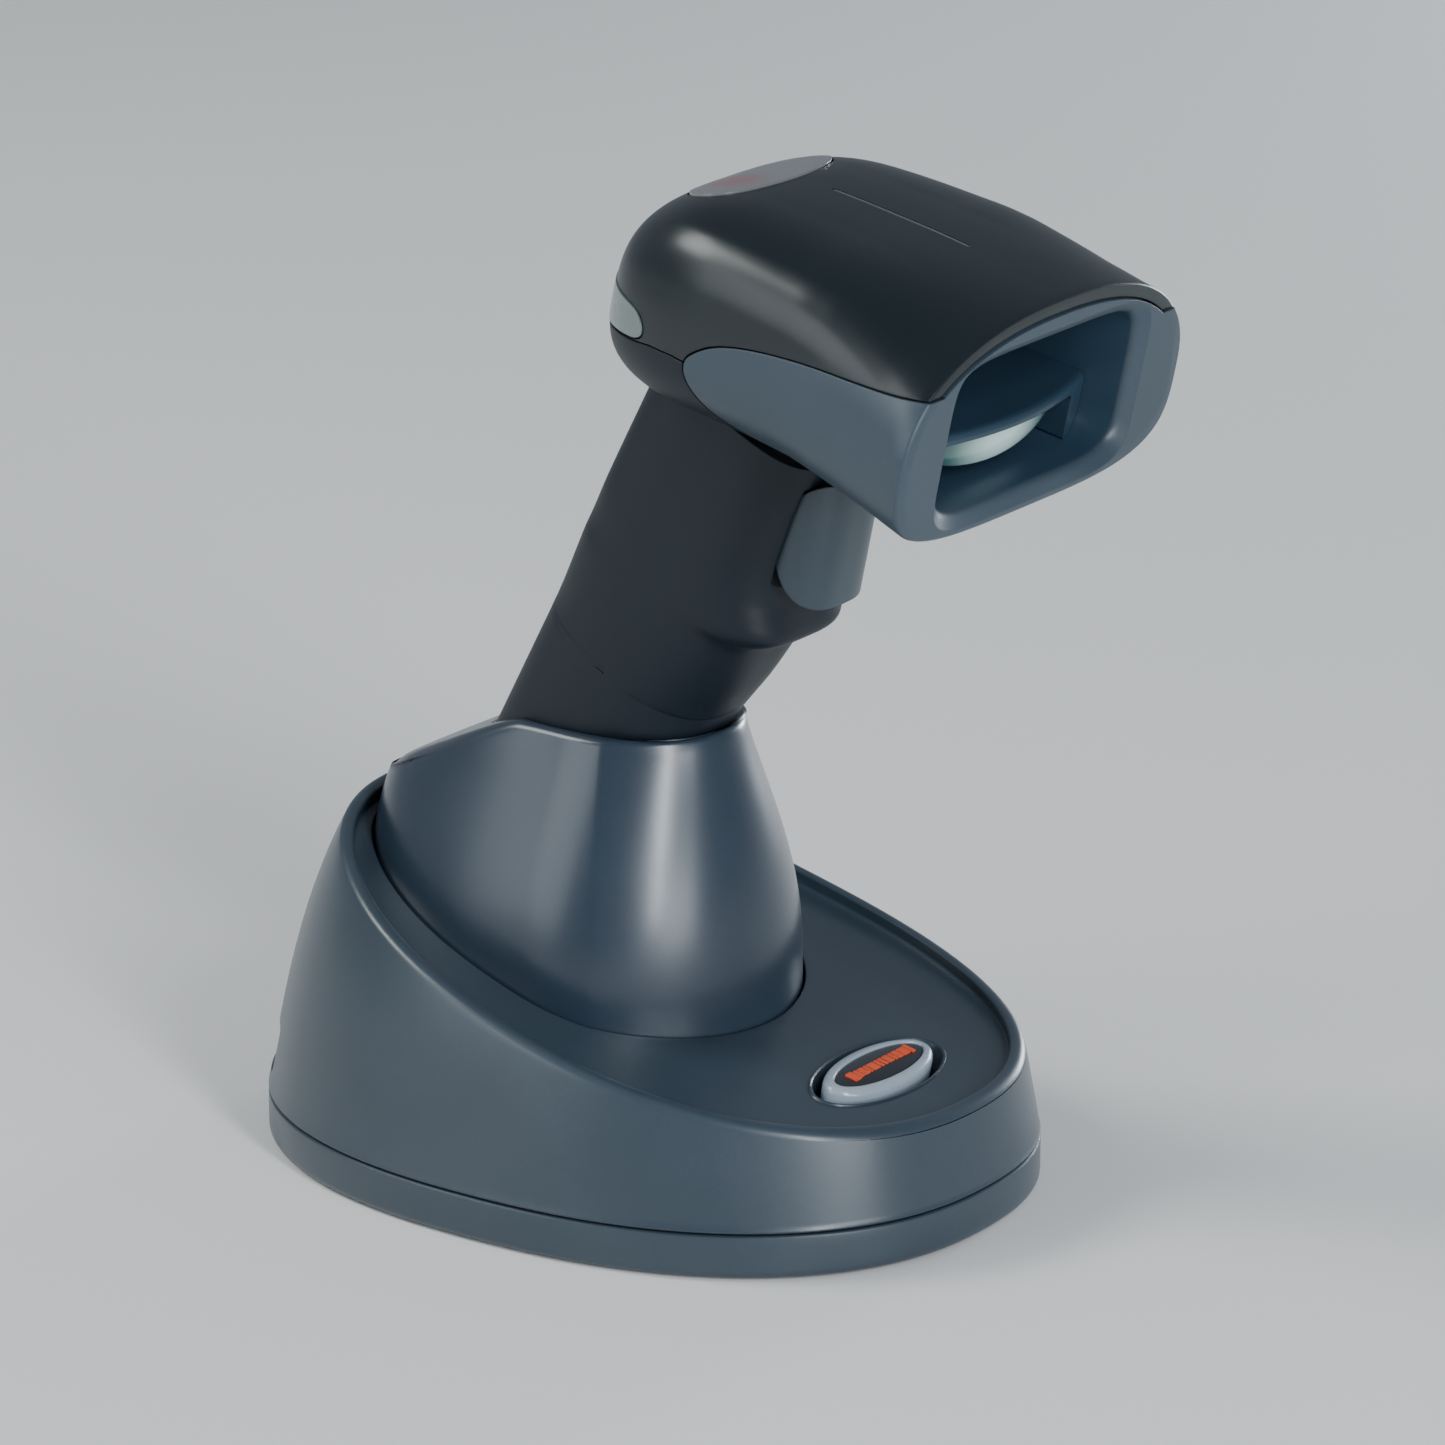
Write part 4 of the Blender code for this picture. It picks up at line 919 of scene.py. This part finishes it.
def handle_outline(along, front, shrink):
    upper = min(max((along - 79.0) / 30.0, 0.0), 1.0)
    upper = upper * upper * (3.0 - 2.0 * upper)
    width = HANDLE_HALF_WIDTH + 1.0 * upper - (0.6 if along < 1.0 else 0.0)
    back = HANDLE_BACK - 0.6 * upper - (0.6 if along < 1.0 else 0.0)
    return width - shrink, -front + shrink, back - shrink, HANDLE_POWER + 1.4 * upper


def handle_loft(name, shrink, steps, count=128, material=None):
    angles = ring_angles(count)
    rings = []
    for along, front in steps:
        width, low, high, power = handle_outline(along, front, shrink)
        rings.append(handle_ring(angles, along, width, low, high, power))
    return loft(name, rings, ASSEMBLY, material)


def trigger_outline(count=53):
    arc = []
    for i in range(count):
        angle = math.radians(-95.0 + i * 162.0 / (count - 1))
        arc.append((-15.0 + 10.1 * math.cos(angle), -17.2 + 11.2 * math.sin(angle)))
    return arc + [(-13.9, -6.2), (-17.2, -5.2), (-19.0, -4.9), (-19.0, -27.6)]


TRIGGER_ARM = [(-11.0, -10.0), (-3.4, -8.4), (-3.2, -2.8), (-9.0, -2.8)]


def swept(outline):
    """Room for an outline at rest and fully pressed, swung about the trigger's pin."""
    rest = widened(outline, 0.4)
    swing = Matrix.Rotation(TRIGGER_SWING, 2)
    pin = Vector(TRIGGER_PIN)
    points = [Vector(point) for point in rest]
    points += [pin + swing @ (Vector(point) - pin) for point in rest]
    return [tuple(points[i]) for i in convex_hull_2d(points)]


def build_housing():
    housing = head_solid("grip_housing", 0.0, HEAD_FRONT_Y + 3.6, HEAD_TIP_Y)
    below = [(y, z - GAP) for y, z in SEAM]
    keep_inside(housing, seam_prism("below", below, -60.0))
    join(housing, handle_loft("grip", 0.0, grip_steps()))
    cut(housing, inner_head())
    hollow = [(1.5, 17.5), (94.0, 17.5), (108.0, 17.4), (140.0, 17.4)]
    cut(housing, handle_loft("grip_hollow", HANDLE_WALL, hollow, 64))
    cut(housing, prism("cheek_room", widened(CHEEK, GAP), "X", -60.0, 60.0, SCANNER))
    cut(housing, rear_prism("rear_room", GAP))
    cut(housing, prism("recess_room", opening_outline(-1.7), "Y", -60.0, RECESS_BACK_Y + GAP,
                       SCANNER))
    cut(housing, handle_loft("door_room", -4.0, [(0.0, 20.0), (3.0, 20.0)]))
    for outline, half in ((trigger_outline(), TRIGGER_HALF_WIDTH + 0.4),
                          (TRIGGER_ARM, TRIGGER_ARM_HALF_WIDTH + 0.6)):
        cut(housing, prism("trigger_room", swept(outline), "X", -half, half, SCANNER))
    resharpen(housing, "housing")
    settle(housing, "scanner", "housing", "handle_housing")


def build_trigger():
    trigger = prism("trigger_key", trigger_outline(), "X", -TRIGGER_HALF_WIDTH,
                    TRIGGER_HALF_WIDTH, SCANNER)
    face = []
    for i in range(65):
        x, y = superellipse(9.7, 8.9, 3.0, math.pi * i / 64)
        face.append((x, TRIGGER_PIN[0] + 1.2 - y))
    face += [(-9.7, TRIGGER_PIN[0] + 14.0), (9.7, TRIGGER_PIN[0] + 14.0)]
    keep_inside(trigger, prism("trigger_face", face, "Z", -45.0, 15.0, SCANNER))
    soften(trigger, 0.6)
    join(trigger, prism("trigger_arm", TRIGGER_ARM, "X", -TRIGGER_ARM_HALF_WIDTH,
                        TRIGGER_ARM_HALF_WIDTH, SCANNER))
    resharpen(trigger, "trigger")
    settle(trigger, "trigger", "trigger", "trigger")


# ---------------------------------------------------------------- studio

def add_area(name, place, aim, size, power, color=(1.0, 1.0, 1.0), size_y=None):
    light = bpy.data.lights.new(name, "AREA")
    light.energy = power
    light.color = color
    light.size = size
    if size_y:
        light.shape = "RECTANGLE"
        light.size_y = size_y
    item = bpy.data.objects.new(name, light)
    bpy.context.scene.collection.objects.link(item)
    item.location = place
    item.rotation_euler = (Vector(aim) - Vector(place)).to_track_quat("-Z", "Y").to_euler()
    return item


def build_studio():
    bm = bmesh.new()
    bmesh.ops.create_grid(bm, x_segments=1, y_segments=1, size=6.0)
    floor = finish_mesh(bm, "floor", None)
    floor.location = (0.0, 0.0, 0.0)
    pale = bpy.data.materials.new("floor_pale")
    pale.use_nodes = True
    shader = pale.node_tree.nodes["Principled BSDF"]
    socket(shader, "Base Color", (0.82, 0.81, 0.79, 1.0))
    socket(shader, "Roughness", 0.9)
    floor.data.materials.append(pale)

    world = bpy.data.worlds.new("studio")
    bpy.context.scene.world = world
    world.use_nodes = True
    shade = world.node_tree.nodes["Background"]
    shade.inputs["Color"].default_value = (0.78, 0.87, 1.0, 1.0)
    shade.inputs["Strength"].default_value = 0.31

    middle = (0.0, 0.0, 0.08)
    add_area("left_window", (-1.22, 0.70, 0.55), middle, 0.80, 6.5, (0.90, 0.96, 1.0))
    add_area("left_back", (-0.52, 0.90, 1.05), (0.0, -0.03, 0.14), 0.50, 9.5, (0.96, 1.0, 0.97))
    add_area("front_strip", (-0.64, -1.24, 0.66), middle, 0.16, 19.0, (0.90, 0.95, 1.0), 1.0)
    add_area("front_low", (-0.30, -1.30, 0.10), (0.0, -0.03, 0.0), 0.45, 6.0, (0.90, 0.95, 1.0))
    add_area("right_rim", (1.30, -0.05, 0.12), middle, 0.35, 10.0, (0.85, 0.93, 1.0))


def build_camera():
    camera = bpy.data.cameras.new("camera")
    item = bpy.data.objects.new("camera", camera)
    bpy.context.scene.collection.objects.link(item)
    item.location = Vector((-931.33, -669.21 + SHIFT_Y, 443.80)) * MM
    target = Vector((2.65, -12.32 + SHIFT_Y, 74.78)) * MM
    item.rotation_euler = (target - item.location).to_track_quat("-Z", "Y").to_euler()
    camera.sensor_width = 36.0
    camera.lens = 186.6
    camera.clip_start = 0.02
    bpy.context.scene.camera = item


# ---------------------------------------------------------------- carried-over parts

CARRIED = {
    "rubber": ["rubber_foot_1", "rubber_foot_2", "rubber_foot_3", "rubber_foot_4"],
    "steel": ["base_screw_1", "base_screw_2", "base_screw_3", "base_screw_4",
              "base_radio_module", "scanner_radio_module", "trigger_pin", "battery_door_screw"],
    "gold": ["contact_pin_1", "contact_pin_2", "contact_pin_3", "contact_pin_4", "charge_pad_1",
             "charge_pad_2", "charge_pad_3", "charge_pad_4"],
    "board": ["base_circuit_board", "main_board", "handle_board"],
    "cell": ["battery_cell"],
    "housing": ["battery_door"],
    "dark": ["base_charger_coil", "data_jack", "power_jack", "contact_block", "page_switch",
             "imager_chassis", "lens_barrel", "beeper", "trigger_switch"],
    # The LEDs and lenses below take the lens materials with painted glow and painted highlight.
    "rear": ["illumination_led_left", "illumination_led_right", "status_led"],
    "window": ["imaging_lens", "aimer_lens"],
}

status_glow_centre = SCANNER @ Vector((-7.0, 16.5, 35.0)) * MM
rear_glow_centre = SCANNER @ Vector((0.0, 30.0, 6.0)) * MM
window_highlight_centre = SCANNER @ Vector((2.0, -36.0, 10.6)) * MM
# Painted glow: the status oval's middle is tinted pink-red, standing in for its lit status light.
MAT["status"] = painted_light_oval("status_frost_painted_glow", (0.185, 0.190, 0.193), (0.24, 0.105, 0.115),
                          status_glow_centre, 0.007, 0.28)
# Painted glow: the rear oval is painted paler round its middle.
MAT["rear"] = painted_light_oval("rear_frost_painted_glow", (0.15, 0.19, 0.18), (0.19, 0.23, 0.22), rear_glow_centre,
                        0.030, 0.28)
# Painted highlight: the scan window's glass is painted bright aqua-white round its middle, standing
# in for light reflected on it.
MAT["window"] = painted_light_oval("window_aqua_painted_highlight", (0.030, 0.095, 0.090), (0.50, 0.66, 0.63), window_highlight_centre,
                          0.016, 0.14)
for key, names in CARRIED.items():
    for node in names:
        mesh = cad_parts[node].data
        mesh.materials.clear()
        mesh.materials.append(MAT[key])

build_camera()
build_cradle_body()
build_cup()
build_plate()
build_button()
build_cover()
build_lenses()
build_bezel()
build_window()
build_housing()
build_trigger()
build_studio()
